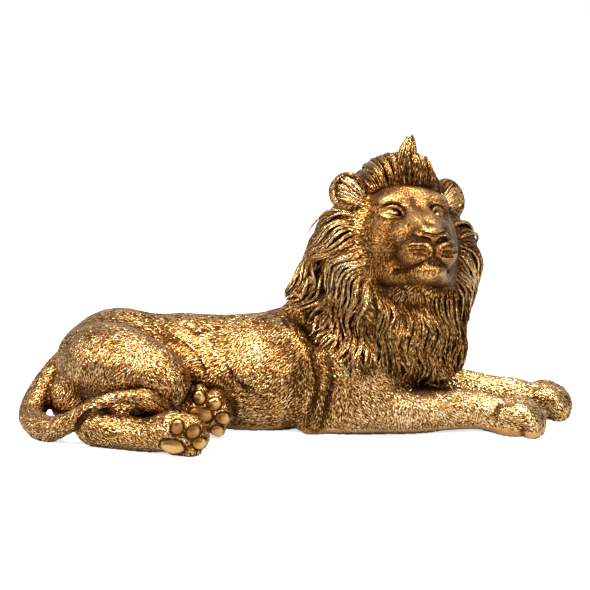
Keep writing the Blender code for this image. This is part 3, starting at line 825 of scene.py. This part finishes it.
# How far each point is from the nearest pad of the hind paws
def padGap(p):
    pads = [mass for mass in hindlegMasses() if mass["blend"] == sole["padBlend"] and not mass["cut"]]
    return np.min([gapTo(mass, p) for mass in pads], axis=0)


# 1 where the skin stays smooth: the pads, the nose leather, the eyes and the casting's lower edge
def smoothSkin(p):
    bare = fade(padGap(p), 1.0, -0.5)
    x, y, z = p.T
    f, s, u = fromHead(p)
    s = np.abs(s - head["aside"])
    fromNose = np.hypot((f - 36) * 0.6, (u + 24.5) * 1.2)
    nose = np.minimum(fade(fromNose, 5.0, -2), 0.7) * fade(s, 11, -2)
    eyeGap = np.min([gapTo(mass, p) for mass in eyeMasses() if mass["blend"] in eyeBlends], axis=0)
    eye = fade(eyeGap, 0.9, -0.4) * fade(f, -3, 2)
    lip = fade(z, 4.2 + 1.8 * (x > 10), -1.2) * fade(x, -60, 10) * (y < 0)
    return np.clip(bare + nose + eye + 0.8 * lip, 0, 1)


# 1 on the soles, where the pads lie close together, and 1 in the grooves round them
def nearPads(p):
    gap = padGap(p)
    return fade(gap, 4.0, -2), np.clip(1.6 - np.abs(gap - 1.1) / 0.6, 0, 1)


def strokes(p, n):
    chance = np.random.default_rng(coat["seed"])
    f, s, u = fromHead(p)
    onHeadSkin = (f > -14) & (np.abs(s) < 44) & (u > -60) & (u < 30)
    facing = facesShot(p, n, 0.08)
    size = np.where(facing & ~underMane(p), 1.0, coat["plain"])
    size = np.where(onHeadSkin & facing, coat["fine"], size)
    size = np.where((f > -40) & (fromEar(s, u) < 20) & facing, coat["onEar"], size)
    roots, tree = spreadOver(p, coat["spacing"] * size, chance)
    count = len(roots)
    report(f"{count} strokes of fur placed")
    way = coatWay(p[roots], n[roots])
    angle = chance.normal(0, coat["scatter"], count)
    way = unit(way + angle[:, None] * np.cross(n[roots], way))
    across = np.cross(n[roots], way)
    length = coat["length"] * size[roots] * chance.uniform(*coat["lengths"], count)
    width = coat["width"] * size[roots] * chance.uniform(*coat["widths"], count)
    bend = chance.uniform(*coat["bends"], count)
    strength = chance.uniform(*coat["strengths"], count)
    relief = np.zeros(len(p))
    for first in range(0, count, coat["batch"]):
        which, where = [], []
        for k in range(first, min(first + coat["batch"], count)):
            found = [item[1] for item in tree.find_range(p[roots[k]], 0.55 * length[k])]
            where += found
            which += [k] * len(found)
        which, where = np.array(which), np.array(where)
        away = p[where] - p[roots[which]]
        run = (away * way[which]).sum(1) / length[which] + 0.5
        side = (away * across[which]).sum(1)
        side = side - bend[which] * length[which] * ((run - 0.5) ** 2 - 0.08)
        run = np.clip(run, 0, 1)
        taper = 1.3 * (1 - run) ** 0.5 * run**0.3
        ridge = 1 - (2 * side / (width[which] * taper + 0.05)) ** 2
        same = (n[where] * n[roots[which]]).sum(1) > 0.3
        height = strength[which] * (0.3 + 0.7 * run) * np.clip(ridge, 0, 1) * same
        np.maximum.at(relief, where, height)
    return relief, size


def putAttribute(mesh, name, values):
    layer = mesh.attributes.new(name, "FLOAT", "POINT")
    layer.data.foreach_set("value", np.asarray(values, np.float32))


# The lie of the hair as seen from the side, as the cosine and sine of twice its angle
def putLie(mesh, way):
    angle = 2 * np.arctan2(way[:, 2], way[:, 0])
    putAttribute(mesh, "lieAlong", np.cos(angle))
    putAttribute(mesh, "lieAslant", np.sin(angle))


def furSkin(piece):
    mesh = piece.data
    p, n = places(mesh), places(mesh, "normal")
    # Brown wash and painted shade: darker in the hollows of the skin, both the broad ones and fine creases
    # such as the lids and the mouth
    hollow = np.clip(1.4 - 0.5 * gapToSkin(p + 3.0 * n, broadMasses), 0, 1)
    hollow = np.maximum(hollow, np.clip(1.5 - 1.9 * gapToSkin(p + 0.8 * n, skinMasses), 0, 1))
    report("hollows found")
    relief, size = strokes(p, n)
    bare = smoothSkin(p)
    depth = coat["depth"] * np.minimum(size, 1.0) * fade(p[:, 2], 0, 1.5)
    f, s, u = fromHead(p)
    # painted shade and brown wash: skin under the mane's locks and the crest keeps little of its relief, so
    # it stays dark
    covered = underMane(p) | ((u > 22) & (f > -50) & (f < 6) & (np.abs(s + 2) < 34) & (p[:, 2] > 168))
    face = fade(f, -20, 12) * fade(np.abs(s), 46, -8) * fade(u, -62, 8)
    cheek = face * fade(f, 16, -10) * fade(u, -6, -6)
    relief = relief * (1 - coat["faceRelief"] * face) + coat["faceLift"] * face - coat["cheekDrop"] * cheek
    # painted light: the lower forelegs are made lighter
    relief = relief + coat["legLight"] * fade(p[:, 0], 40, 40) * fade(p[:, 2], 50, -10)
    soles, rings = nearPads(p)
    # painted shade in the grooves round the pads, with less of it on the soles between them
    hollow = np.maximum(hollow * (1 - 0.6 * soles), rings)
    bare = np.maximum(bare, coat["faceBare"] * face)
    # painted highlight: the bare eyes get a lighter tone
    eye = face * (u > -6) * (f < 20)
    relief = np.where(covered, 0.3 * relief, relief * (1 - bare) + (0.5 + 0.15 * eye) * bare)
    p = p - (depth * (1 - relief) * (1 - bare))[:, None] * n
    p[p[:, 2] < skin["underside"], 2] = 0
    putPlaces(mesh, p)
    for name, values in (("relief", relief), ("hollow", hollow), ("bare", bare)):
        putAttribute(mesh, name, values)
    putLie(mesh, coatWay(p, n))
    report("fur cut")


# The skin is handed on as four closed pieces, cut where locks and creases hide the joins
def cutOut(piece, name, planes):
    bm = bmesh.new()
    bm.from_mesh(piece.data)
    for co, outward in planes:
        everything = bm.verts[:] + bm.edges[:] + bm.faces[:]
        bmesh.ops.bisect_plane(bm, geom=everything, plane_co=co, plane_no=outward, clear_outer=True)
        rim = [edge for edge in bm.edges if edge.is_boundary]
        for edge in rim:
            edge.smooth = False
        bmesh.ops.edgeloop_fill(bm, edges=rim)
    under = [face for face in bm.faces if all(vert.co.z == 0 for vert in face.verts)]
    bmesh.ops.dissolve_faces(bm, faces=under)
    bmesh.ops.recalc_face_normals(bm, faces=bm.faces[:])
    return placed(name, bm)


cuts = {"haunch": -95.0, "shoulder": 8.0, "throat": 108.0}


def splitSkin(piece):
    haunch, shoulder, throat = (cuts["haunch"], 0, 0), (cuts["shoulder"], 0, 0), (0, 0, cuts["throat"])
    parts = [
        cutOut(piece, "hindquarters", [(haunch, (1, 0, 0))]),
        cutOut(piece, "flank", [(haunch, (-1, 0, 0)), (shoulder, (1, 0, 0))]),
        cutOut(piece, "forequarters", [(shoulder, (-1, 0, 0)), (throat, (0, 0, 1))]),
        cutOut(piece, "headAndNeck", [(shoulder, (-1, 0, 0)), (throat, (0, 0, -1))]),
    ]
    bpy.data.objects.remove(piece)
    return parts


# Locks: tapering ridged strips, swept along combed paths

def lockTemplate(ring, stations):
    bm = bmesh.new()
    bmesh.ops.create_cone(bm, segments=ring, radius1=1, radius2=1, depth=stations - 1, cap_ends=True,
                          matrix=Matrix.Translation((0, 0, (stations - 1) / 2)))
    for k in range(1, stations - 1):
        everything = bm.verts[:] + bm.edges[:] + bm.faces[:]
        bmesh.ops.bisect_plane(bm, geom=everything, plane_co=(0, 0, k), plane_no=(0, 0, 1))
    mesh = bpy.data.meshes.new("lockTemplate")
    bm.to_mesh(mesh)
    bm.free()
    return mesh


lockForm = {
    "outer": 0.83, "under": 0.17,       # shares of the ring on the outer side and against the skin
    "sunk": -0.35,                      # where the under side lies, as a share of the height
    "wander": 0.22, "waves": 0.8,       # how far and how often the strands swing sideways
    "spread": (0.8, 1.2),               # of the widths and heights
}


# paths and outs hold one row of points for each lock, sizes a share of the look's width and height,
# shades how bright a lock's ridges are
def makeLocks(name, paths, outs, sizes, shades, look, chance):
    count, stations = paths.shape[:2]
    template = lockTemplate(look["ring"], stations)
    spot = places(template)
    station = np.round(spot[:, 2]).astype(int)
    angle = np.arctan2(spot[:, 0], spot[:, 1])      # 0 on the outer side, a half turn at the skin
    t = station / (stations - 1)
    width = look["width"] * sizes * chance.uniform(*lockForm["spread"], count)
    height = look["height"] * sizes * chance.uniform(*lockForm["spread"], count)
    phase = chance.uniform(0, 2 * math.pi, count)
    tangent = unit(np.gradient(paths, axis=1))
    outs = unit(outs - (outs * tangent).sum(2, keepdims=True) * tangent)
    side = np.cross(tangent, outs)
    shape = np.interp(t, *look["taper"])
    # most of the ring lies on the outer side, where the strands are
    outer, inner = lockForm["outer"] * math.pi, lockForm["under"] * math.pi
    lean = np.sign(angle) * math.pi / 2 * (np.abs(angle) / outer)
    under = np.abs(angle) > outer
    across = np.where(under, np.sign(angle) * (math.pi - np.abs(angle)) / inner, np.sin(lean))
    rise = np.where(under, lockForm["sunk"], np.cos(lean))
    wander = lockForm["wander"] * np.sin(2 * math.pi * lockForm["waves"] * t[None] + phase[:, None])
    strand = 0.5 + 0.5 * np.cos(math.pi * look["strands"] * (across[None] + wander * (1 - across[None] ** 2)))
    strand = np.where(under[None], 0, strand)
    cut = look["groove"] * sizes[:, None] * (1 - strand) * np.clip(shape[None] * 1.6, 0, 1)
    high = rise[None] * height[:, None] * shape[None] - np.where(under[None], 0, cut)
    broad = across[None] * width[:, None] * shape[None]
    p = paths[:, station] + high[..., None] * outs[:, station] + broad[..., None] * side[:, station]
    bm = bmesh.new()
    for _ in range(count):
        bm.from_mesh(template)
    bpy.data.meshes.remove(template)
    piece = placed(name, bm)
    mesh = piece.data
    putPlaces(mesh, p.reshape(-1, 3))
    # painted shade: each lock is darker towards its root, where it comes out from under the others
    root = np.clip(t / look["rootShade"], 0.15, 1)
    light = np.where(under[None], 0.0, 0.06 + 0.94 * strand**1.4) * root[None] * shades[:, None]
    putAttribute(mesh, "relief", light.ravel())
    # painted shade: each lock is darker on its flanks and fully dark on its under side
    putAttribute(mesh, "hollow", np.tile(np.where(under, 1.0, (1 - rise) ** 1.5), count))
    putAttribute(mesh, "bare", np.zeros(count * len(spot)))
    putLie(mesh, tangent[:, station].reshape(-1, 3))
    bm = bmesh.new()
    bm.from_mesh(mesh)
    bmesh.ops.recalc_face_normals(bm, faces=bm.faces[:])
    bm.to_mesh(mesh)
    bm.free()
    report(f"{name} of {count} locks, {triangles(mesh)} triangles")
    return piece


# Walks each root along the lie of the hair; a lock starts under the skin and rises off it
def combed(roots, masses, stations, step, lift):
    p = roots.copy()
    paths, outs = [], []
    for i in range(stations):
        gap, outward = gapAndSlope(p, masses)
        rise = lift * (-0.8 + 1.8 * min(1, 2.2 * i / (stations - 1)))
        p = p - (gap - rise)[:, None] * outward
        paths.append(p.copy())
        outs.append(outward)
        p = p + step[:, None] * hairFlow(p, outward)
    return np.stack(paths, 1), np.stack(outs, 1)


maneLook = {
    "seenTuft": 8, "hiddenTuft": 5,     # locks in a tuft, on the side that the camera sees and on the other
    "faceTuft": 12,                     # finer ones along the edge of the face
    "ring": 16, "stations": 18,
    "width": 2.1, "height": 3.0, "groove": 1.05, "strands": 3, "rootShade": 0.35,
    "taper": ((0, 0.2, 0.55, 0.85, 1), (0.6, 1, 0.85, 0.45, 0.06)),
    "lift": 3.0, "clump": 0.6, "sway": 3.6, "curl": 2.0,
    "spread": 1.15,                     # a tuft's width, as a share of the room between two tufts
    "level": (-3.0, 2.0),               # how far a lock lies under or over the others
    "levelShade": (0.2, 0.8), "edgeShade": 0.25, "chestShade": 0.55,
    "size": (0.7, 1.15), "edgeSize": 0.6,
    "stray": 5.5, "earRoom": 13,        # locks further off the skin or nearer to an ear are left out
    "shortest": 0.4,                    # and those of which less than this share is left
    "seed": 21,
}


# Cuts a path short and spreads its points over what is left
def shortened(path, kept):
    return readAt(path, np.linspace(0, kept - 1, len(path)))


def makeMane():
    chance = np.random.default_rng(maneLook["seed"])
    roots = maneRoots(underHair, hair["spacing"])
    edgeCount = len(faceEdgeRoots())
    stations = maneLook["stations"]
    step = np.full(len(roots), hair["length"] / (stations - 1))
    tuftPaths, _ = combed(roots, underHair, stations, step, maneLook["lift"])
    onEdge = np.arange(len(roots)) < edgeCount
    seen = roots[:, 1] < 8
    many = np.where(seen, maneLook["seenTuft"], maneLook["hiddenTuft"])
    many = np.where(onEdge, maneLook["faceTuft"], many)
    parent = np.repeat(np.arange(len(roots)), many)
    slotInTuft = np.concatenate([np.arange(count) / (count - 1) - 0.5 for count in many])
    _, outward = gapAndSlope(roots, underHair)
    way = hairFlow(roots, outward)
    across = np.cross(outward, way)[parent]
    way = way[parent]
    edge = onEdge[parent]
    aside = slotInTuft * hair["spacing"] * maneLook["spread"] + chance.normal(0, 0.6, len(parent))
    onward = np.where(edge, chance.uniform(-1, 6, len(parent)), chance.uniform(-12, 12, len(parent)))
    children = roots[parent] + aside[:, None] * across + onward[:, None] * way
    step = hair["length"] / (stations - 1) * chance.uniform(0.62, 1.15, len(parent))
    step = step * np.where(edge, 0.85, 1.0)
    paths, outs = combed(children, underHair, stations, step, maneLook["lift"])
    report("mane combed")
    t = np.linspace(0, 1, stations)[None, :, None]
    paths = paths + maneLook["clump"] * t**1.5 * (tuftPaths[parent] - paths) * 0.6
    side = unit(np.cross(np.gradient(paths, axis=1), outs))
    off = gapToSkin(paths.reshape(-1, 3), broadMasses).reshape(len(parent), stations)
    stray = (off > maneLook["stray"]).any(1)
    for s in (-1, 1):
        ear = onHead((-22, s * 40 - 2, 21))
        stray |= (np.linalg.norm(paths[:, 3:] - ear, axis=2) < maneLook["earRoom"]).any(1)
    phase = chance.uniform(0, 2 * math.pi, len(roots))[parent] + chance.normal(0, 0.9, len(parent))
    turns = chance.uniform(0.9, 1.7, (len(roots), 1, 1))[parent]
    wave = np.sin(2 * math.pi * turns * t + phase[:, None, None])
    sway = maneLook["sway"] * chance.uniform(0.5, 1.3, len(parent)) * np.where(edge, 0.3, 1.0)
    paths = paths + sway[:, None, None] * t**0.8 * wave * side
    level = chance.uniform(*maneLook["level"], (len(parent), 1, 1))
    curl = maneLook["curl"] * fade(t, 0.75, 0.25)
    curl = curl * chance.uniform(-0.3, 1, (len(parent), 1, 1))
    paths = paths + outs * (level * np.minimum(1, 3 * t) + curl)
    # painted shade: a lock that lies under the others is darker
    shade = np.interp(level[:, 0, 0], maneLook["level"], maneLook["levelShade"])
    shade = shade + np.where(edge, maneLook["edgeShade"], 0)
    # painted shade: the locks on the chest, under the head, are darker
    chest = (roots[parent, 2] < 112) & (roots[parent, 0] > 50)
    shade = shade * np.where(chest, maneLook["chestShade"], 1.0)
    kept = []
    for path, out, fine, isStray, bright in zip(paths, outs, edge, stray, shade):
        above = path[:, 2] > maneEdge(path[:, 0]) + chance.normal(0, 3)
        stop = stations if above.all() else int(np.argmin(above))
        if stop < maneLook["shortest"] * stations or isStray:
            continue
        size = maneLook["edgeSize"] if fine else chance.uniform(*maneLook["size"])
        kept.append((shortened(path, stop), shortened(out, stop), size, bright))
    kept = [np.array(column) for column in zip(*kept)]
    near = kept[0][:, :, 1].mean(1) < 2
    return [makeLocks(name, *(column[side] for column in kept), maneLook, chance)
            for name, side in (("maneRight", near), ("maneLeft", ~near))]


crestLook = {
    "across": 40, "layers": 4, "clumps": 11, "inTuft": 18,
    "ring": 12, "stations": 14,
    "width": 1.6, "height": 1.9, "groove": 0.5, "strands": 2, "rootShade": 0.7,
    "taper": ((0, 0.2, 0.7, 1), (0.7, 1, 0.85, 0.1)),
    "heart": (68, 2, 168),              # the strands bend over this place
    "tops": ((37, 9, 181), (45, 4, 190), (53, 0, 197), (62, -3, 202), (71, -6, 204), (78, -10, 207),
             (84, -13, 209), (90, -11, 205), (95, -7, 201), (99, -2, 193), (102, 4, 184)),
    "tuft": (((82, -12, 190), 8.5), ((82.5, -13, 204), 5.6), ((85, -13, 218), 2.4)),
    "seed": 5,
}


# The same number of points, evenly spaced along a curve through a few places
def evenPath(spots, stations, share=1.0):
    curve = smoothPath([(*spot, 0) for spot in spots], steps=8)[:, :3]
    run = runAlong(curve)
    return readAt(curve, np.linspace(0, run[-1] * share, stations), run)


# Strands from the hairline up and back, in clumps, with one pointed tuft
def makeCrest():
    chance = np.random.default_rng(crestLook["seed"])
    tops, heart = np.array(crestLook["tops"], float), np.array(crestLook["heart"], float)
    marks = np.linspace(0, 1, len(tops))
    clumps, stations = crestLook["clumps"], crestLook["stations"]
    height = chance.normal(0, 1.0, clumps + 1)
    paths, outs, shades = [], [], []
    for layer in range(crestLook["layers"]):
        for k in range(crestLook["across"]):
            share = (k + 0.5 * (layer % 2)) / (crestLook["across"] - 0.5) + chance.normal(0, 0.006)
            share = min(max(share, 0), 1)
            nearest = round(share * clumps)
            gathered = share + 0.45 * (nearest / clumps - share)
            top = readAt(tops, [gathered], marks)[0]
            side = -27 + 49 * share
            root = onHead((-6 - 0.014 * side**2 - 4.5 * layer, side, 22.6 - 0.004 * side**2 + 1.8 * layer))
            middle = 0.5 * (root + top) + headFrame @ np.array((6.0 - 2.6 * layer, 0, 1.5))
            middle = middle + chance.normal(0, 0.7, 3)
            outer = unit(top - heart)
            top = top + outer * (height[nearest] - 2.0 - 0.4 * layer) + np.array((-1.2, 2.4, -0.5)) * layer
            end = top + np.array((-2.0, 4.6, -7.5)) + chance.normal(0, 0.9, 3)
            paths.append(evenPath((root, middle, top, end), stations, chance.uniform(0.75, 0.97)))
            outs.append(unit(paths[-1] - heart))
            shades.append(chance.uniform(0.4, 0.85))
    for k in range(crestLook["inTuft"]):
        turn = 2 * math.pi * k / crestLook["inTuft"]
        ring = np.array((math.cos(turn), math.sin(turn), 0))
        spots = [np.array(spot) + r * ring for spot, r in crestLook["tuft"]]
        paths.append(evenPath(spots, stations, chance.uniform(0.86, 1)))
        outs.append(np.repeat(ring[None], stations, 0))
        shades.append(chance.uniform(0.6, 0.95))
    return makeLocks("crest", np.array(paths), np.array(outs), np.ones(len(paths)), np.array(shades),
                     crestLook, chance)


tuftLook = {
    "ring": 10, "stations": 12,
    "width": 1.25, "height": 1.2, "groove": 0.3, "strands": 2, "rootShade": 0.2,
    "taper": ((0, 0.25, 0.7, 1), (0.6, 1, 0.8, 0.1)),
    "perEar": 22, "onTail": 24,
    "seed": 11,
}


# The hair inside the ears and the end of the tail
def makeTufts():
    chance = np.random.default_rng(tuftLook["seed"])
    stations = tuftLook["stations"]
    paths, outs = [], []
    for s in (-1, 1):
        for k in range(tuftLook["perEar"]):
            share = k / (tuftLook["perEar"] - 1)
            turn = math.radians(-55 + 140 * share + chance.normal(0, 4))
            far = chance.uniform(7.5, 12)
            forward = -17.5 + chance.uniform(-1, 1)
            root = onHead((forward, s * (29 + 2.5 * chance.uniform()) - 2, 7.5 + 9 * share))
            tip = onHead((-20.5, s * (40 + far * math.cos(turn)) - 2, earHeight(s) + far * math.sin(turn)))
            middle = 0.5 * (root + tip) + headFrame @ np.array((2.0 + chance.uniform(-1, 1), 0, 0))
            paths.append(evenPath((root, middle, tip), stations))
            outs.append(np.repeat((headFrame @ np.array((1.0, 0.3 * s, 0)))[None], stations, 0))
    spine = tailMasses()[0]["path"][-17:]
    line = readAt(spine, np.linspace(0, len(spine) - 1, stations))
    along = unit(np.gradient(line[:, :3], axis=0))
    upward = unit(np.cross(np.cross(along, np.array((0, 0, 1.0))), along))
    aside = np.cross(along, upward)
    for k in range(tuftLook["onTail"]):
        turn = 2 * math.pi * k / tuftLook["onTail"] + chance.normal(0, 0.08)
        turn = turn + np.linspace(0, 0.7, stations) + 0.12 * np.sin(np.linspace(0, 6, stations))
        out = np.cos(turn)[:, None] * upward + np.sin(turn)[:, None] * aside
        r = line[:, 3] * np.interp(np.linspace(0, 1, stations), (0, 0.3, 1), (0.75, 1.02, 1.0))
        paths.append(line[:, :3] + r[:, None] * out)
        outs.append(out)
    shades = np.where(np.arange(len(paths)) < 2 * tuftLook["perEar"], 1.0, 0.6)
    return makeLocks("tufts", np.array(paths), np.array(outs), np.ones(len(paths)), shades, tuftLook, chance)


# Old gold: bright metal on the ridges, brown wash left in the hollows, and painted shade that darkens the
# hollows, the creases and the flanks of the locks

finish = {
    "bright": (0.93, 0.76, 0.48, 1),
    "gold": (0.66, 0.40, 0.15, 1),
    "brown": (0.30, 0.13, 0.03, 1),
    "wash": (0.05, 0.018, 0.004, 1),
    "hair": 1200.0, "drawn": 3.4,       # fine hairs in a metre, and how many times longer than wide
    "streaks": 2.5,                     # how strongly they show
    "cloud": 60, "patches": 0.4,        # how fine and how strong the wear's patches are
    "hollow": 0.75,                     # how much a hollow darkens
    "rough": (0.42, 0.16),              # in the wash and on the bright ridges
    "steps": ((0.0, "wash"), (0.28, "brown"), (0.58, "gold"), (0.9, "bright")),
    "bump": (0.9, 0.0006),              # strength, and depth in metres
}


# A math node's result, from two numbers or results of other nodes
def reckon(tree, kind, a, b):
    node = tree.nodes.new("ShaderNodeMath")
    node.operation = kind
    for socket, value in zip(node.inputs, (a, b)):
        if isinstance(value, (int, float)):
            socket.default_value = value
        else:
            tree.links.new(value, socket)
    return node.outputs[0]


# A result brought from one range of numbers to another
def rescaled(tree, value, ends, kind="LINEAR"):
    node = tree.nodes.new("ShaderNodeMapRange")
    node.interpolation_type = kind
    for name, number in zip(("From Min", "From Max", "To Min", "To Max"), ends):
        node.inputs[name].default_value = number
    tree.links.new(value, node.inputs["Value"])
    return node.outputs["Result"]


def oldGold():
    material = bpy.data.materials.new("oldGold")
    material.use_nodes = True
    tree = material.node_tree
    nodes, links = tree.nodes, tree.links
    shader = nodes["Principled BSDF"]
    spots = nodes.new("ShaderNodeTexCoord").outputs["Object"]

    def attribute(name):
        node = nodes.new("ShaderNodeAttribute")
        node.attribute_name = name
        return node.outputs["Fac"]

    def noise(scale, detail, place):
        node = nodes.new("ShaderNodeTexNoise")
        node.inputs["Scale"].default_value = scale
        node.inputs["Detail"].default_value = detail
        links.new(place, node.inputs["Vector"])
        return reckon(tree, "SUBTRACT", node.outputs["Fac"], 0.5)

    # fine hair: noise drawn out along four directions, mixed by the lie of the hair at each place
    def fineHair(angle):
        node = nodes.new("ShaderNodeMapping")
        node.vector_type = "TEXTURE"
        node.inputs["Rotation"].default_value = (0, math.radians(-angle), 0)
        node.inputs["Scale"].default_value = (finish["drawn"], 1, 1)
        links.new(spots, node.inputs["Vector"])
        return noise(finish["hair"], 1, node.outputs["Vector"])

    def share(value, sign):
        part = reckon(tree, "MAXIMUM", reckon(tree, "MULTIPLY", value, sign), 0.0)
        return reckon(tree, "MULTIPLY", part, part)

    along, aslant = attribute("lieAlong"), attribute("lieAslant")
    strand = 0.0
    for angle, value, sign in ((0, along, 1.0), (45, aslant, 1.0), (90, along, -1.0), (135, aslant, -1.0)):
        strand = reckon(tree, "ADD", strand, reckon(tree, "MULTIPLY", fineHair(angle), share(value, sign)))
    strand = reckon(tree, "MULTIPLY", strand, reckon(tree, "SUBTRACT", 1.0, attribute("bare")))
    # the brown wash and the painted shade in hollows darken the tone
    darker = reckon(tree, "MULTIPLY", attribute("hollow"), finish["hollow"])
    tone = reckon(tree, "SUBTRACT", attribute("relief"), darker)
    patches = reckon(tree, "MULTIPLY", noise(finish["cloud"], 3, spots), finish["patches"])
    tone = reckon(tree, "ADD", tone, patches)
    tone = reckon(tree, "ADD", tone, reckon(tree, "MULTIPLY", strand, finish["streaks"]))
    ramp = nodes.new("ShaderNodeValToRGB")
    steps = ramp.color_ramp.elements
    first, *between, last = finish["steps"]
    for step, (position, name) in zip(steps, (first, last)):
        step.position, step.color = position, finish[name]
    for position, name in between:
        steps.new(position).color = finish[name]
    links.new(tone, ramp.inputs["Fac"])
    links.new(ramp.outputs["Color"], shader.inputs["Base Color"])
    shader.inputs["Metallic"].default_value = 1.0
    links.new(rescaled(tree, tone, (0.0, last[0], *finish["rough"])), shader.inputs["Roughness"])
    bump = nodes.new("ShaderNodeBump")
    bump.inputs["Strength"].default_value, bump.inputs["Distance"].default_value = finish["bump"]
    links.new(strand, bump.inputs["Height"])
    links.new(bump.outputs["Normal"], shader.inputs["Normal"])
    return material


# Puts a finished mesh at its real size on the frame, inside the solid's own box
def setDown(piece, material):
    p = (places(piece.data) - np.array(figure["middle"])) * figure["unit"]
    p = np.clip(p, np.array(cadLow), np.array(cadHigh))
    putPlaces(piece.data, p)
    piece.data.shade_smooth()
    piece.data.materials.append(material)
    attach(piece, "root")
    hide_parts("lion")


def makeLion():
    material = oldGold()
    whole = makeSkin()
    furSkin(whole)
    parts = splitSkin(whole)
    parts += makeMane()
    parts.append(makeCrest())
    parts.append(makeTufts())
    for part in parts:
        setDown(part, material)
        report(f"{part.name}: {triangles(part.data)} triangles")


# Floor, lights and camera

studio = {
    "floor": (0.5, 0.5, 0.5, 1),
    "glow": 0.73,                       # the floor's own light, seen only by the camera
    "floorSize": 6.0,
    "fromBehind": (0.0, 0.7, 0.0, 0.8), # the world's glow: where it starts and is full, and how strong
    "fromAbove": (0.3, 0.9, 0.0, 0.3),
    "allRound": 0.07,
    "lamps": (                          # name, place, aim, size and watts
        ("keyLight", (-0.8, -1.0, 1.15), (0, 0, 0.08), (0.4, 0.4), 26),
        ("topLight", (0.1, -0.1, 1.4), (0, 0, 0.08), (1.2, 0.3), 26),
        ("pawLight", (0.7, -1.1, 1.2), (0.1, 0, 0.03), (0.4, 0.3), 16),
        ("fillLight", (1.2, -1.1, 0.6), (0, 0, 0.08), (0.3, 0.7), 6),
        ("sideLight", (-1.4, -0.2, 0.6), (0, 0, 0.08), (0.25, 0.7), 7),
    ),
}


def onFrame(point):
    return (Vector(point) - Vector(figure["middle"])) * figure["unit"]


def makeFloor():
    bm = bmesh.new()
    bmesh.ops.create_grid(bm, x_segments=1, y_segments=1, size=studio["floorSize"])
    floor = placed("floor", bm)
    material = bpy.data.materials.new("paleFloor")
    material.use_nodes = True
    tree = material.node_tree
    shader = tree.nodes["Principled BSDF"]
    shader.inputs["Base Color"].default_value = studio["floor"]
    shader.inputs["Roughness"].default_value = 0.8
    shader.inputs["Emission Color"].default_value = (1, 1, 1, 1)
    rays = tree.nodes.new("ShaderNodeLightPath")
    glow = reckon(tree, "MULTIPLY", rays.outputs["Is Camera Ray"], studio["glow"])
    tree.links.new(glow, shader.inputs["Emission Strength"])
    floor.data.materials.append(material)


def softLight(name, place, aim, size, watts):
    data = bpy.data.lights.new(name, "AREA")
    data.shape = "RECTANGLE"
    data.size, data.size_y = size
    data.energy = watts
    lamp = bpy.data.objects.new(name, data)
    scene.collection.objects.link(lamp)
    lamp.location = place
    lamp.rotation_euler = (Vector(aim) - Vector(place)).to_track_quat("-Z", "Y").to_euler()


def makeStudio():
    makeFloor()
    world = bpy.data.worlds.new("studio")
    scene.world = world
    world.use_nodes = True
    tree = world.node_tree
    nodes, links = tree.nodes, tree.links
    sky = nodes["Background"]
    rays = nodes.new("ShaderNodeLightPath")
    spots = nodes.new("ShaderNodeTexCoord")
    apart = nodes.new("ShaderNodeSeparateXYZ")
    links.new(spots.outputs["Generated"], apart.inputs[0])
    behind = rescaled(tree, apart.outputs["Y"], studio["fromBehind"], "SMOOTHSTEP")
    above = rescaled(tree, apart.outputs["Z"], studio["fromAbove"], "SMOOTHSTEP")
    strength = nodes.new("ShaderNodeMix")
    strength.data_type = "FLOAT"
    links.new(rays.outputs["Is Camera Ray"], strength.inputs["Factor"])
    around = reckon(tree, "ADD", reckon(tree, "ADD", behind, above), studio["allRound"])
    links.new(around, strength.inputs["A"])
    strength.inputs["B"].default_value = 1.0
    sky.inputs["Color"].default_value = (1, 1, 1, 1)
    links.new(strength.outputs["Result"], sky.inputs["Strength"])
    for lamp in studio["lamps"]:
        softLight(*lamp)
    report("floor, world and lamps made")


def makeCamera():
    back, eye = shotAxes()
    data = bpy.data.cameras.new("camera")
    data.sensor_width = shot["sensor"]
    data.lens = shot["scale"] * shot["distance"] / shot["frame"] * shot["sensor"]
    camera = bpy.data.objects.new("camera", data)
    scene.collection.objects.link(camera)
    camera.location = onFrame(eye)
    camera.rotation_euler = Vector(-back).to_track_quat("-Z", "Y").to_euler()
    data.clip_start, data.clip_end = 0.05, 20
    scene.camera = camera


makeLion()
makeStudio()
makeCamera()
scene.view_settings.view_transform = "Standard"
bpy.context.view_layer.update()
report("finished")
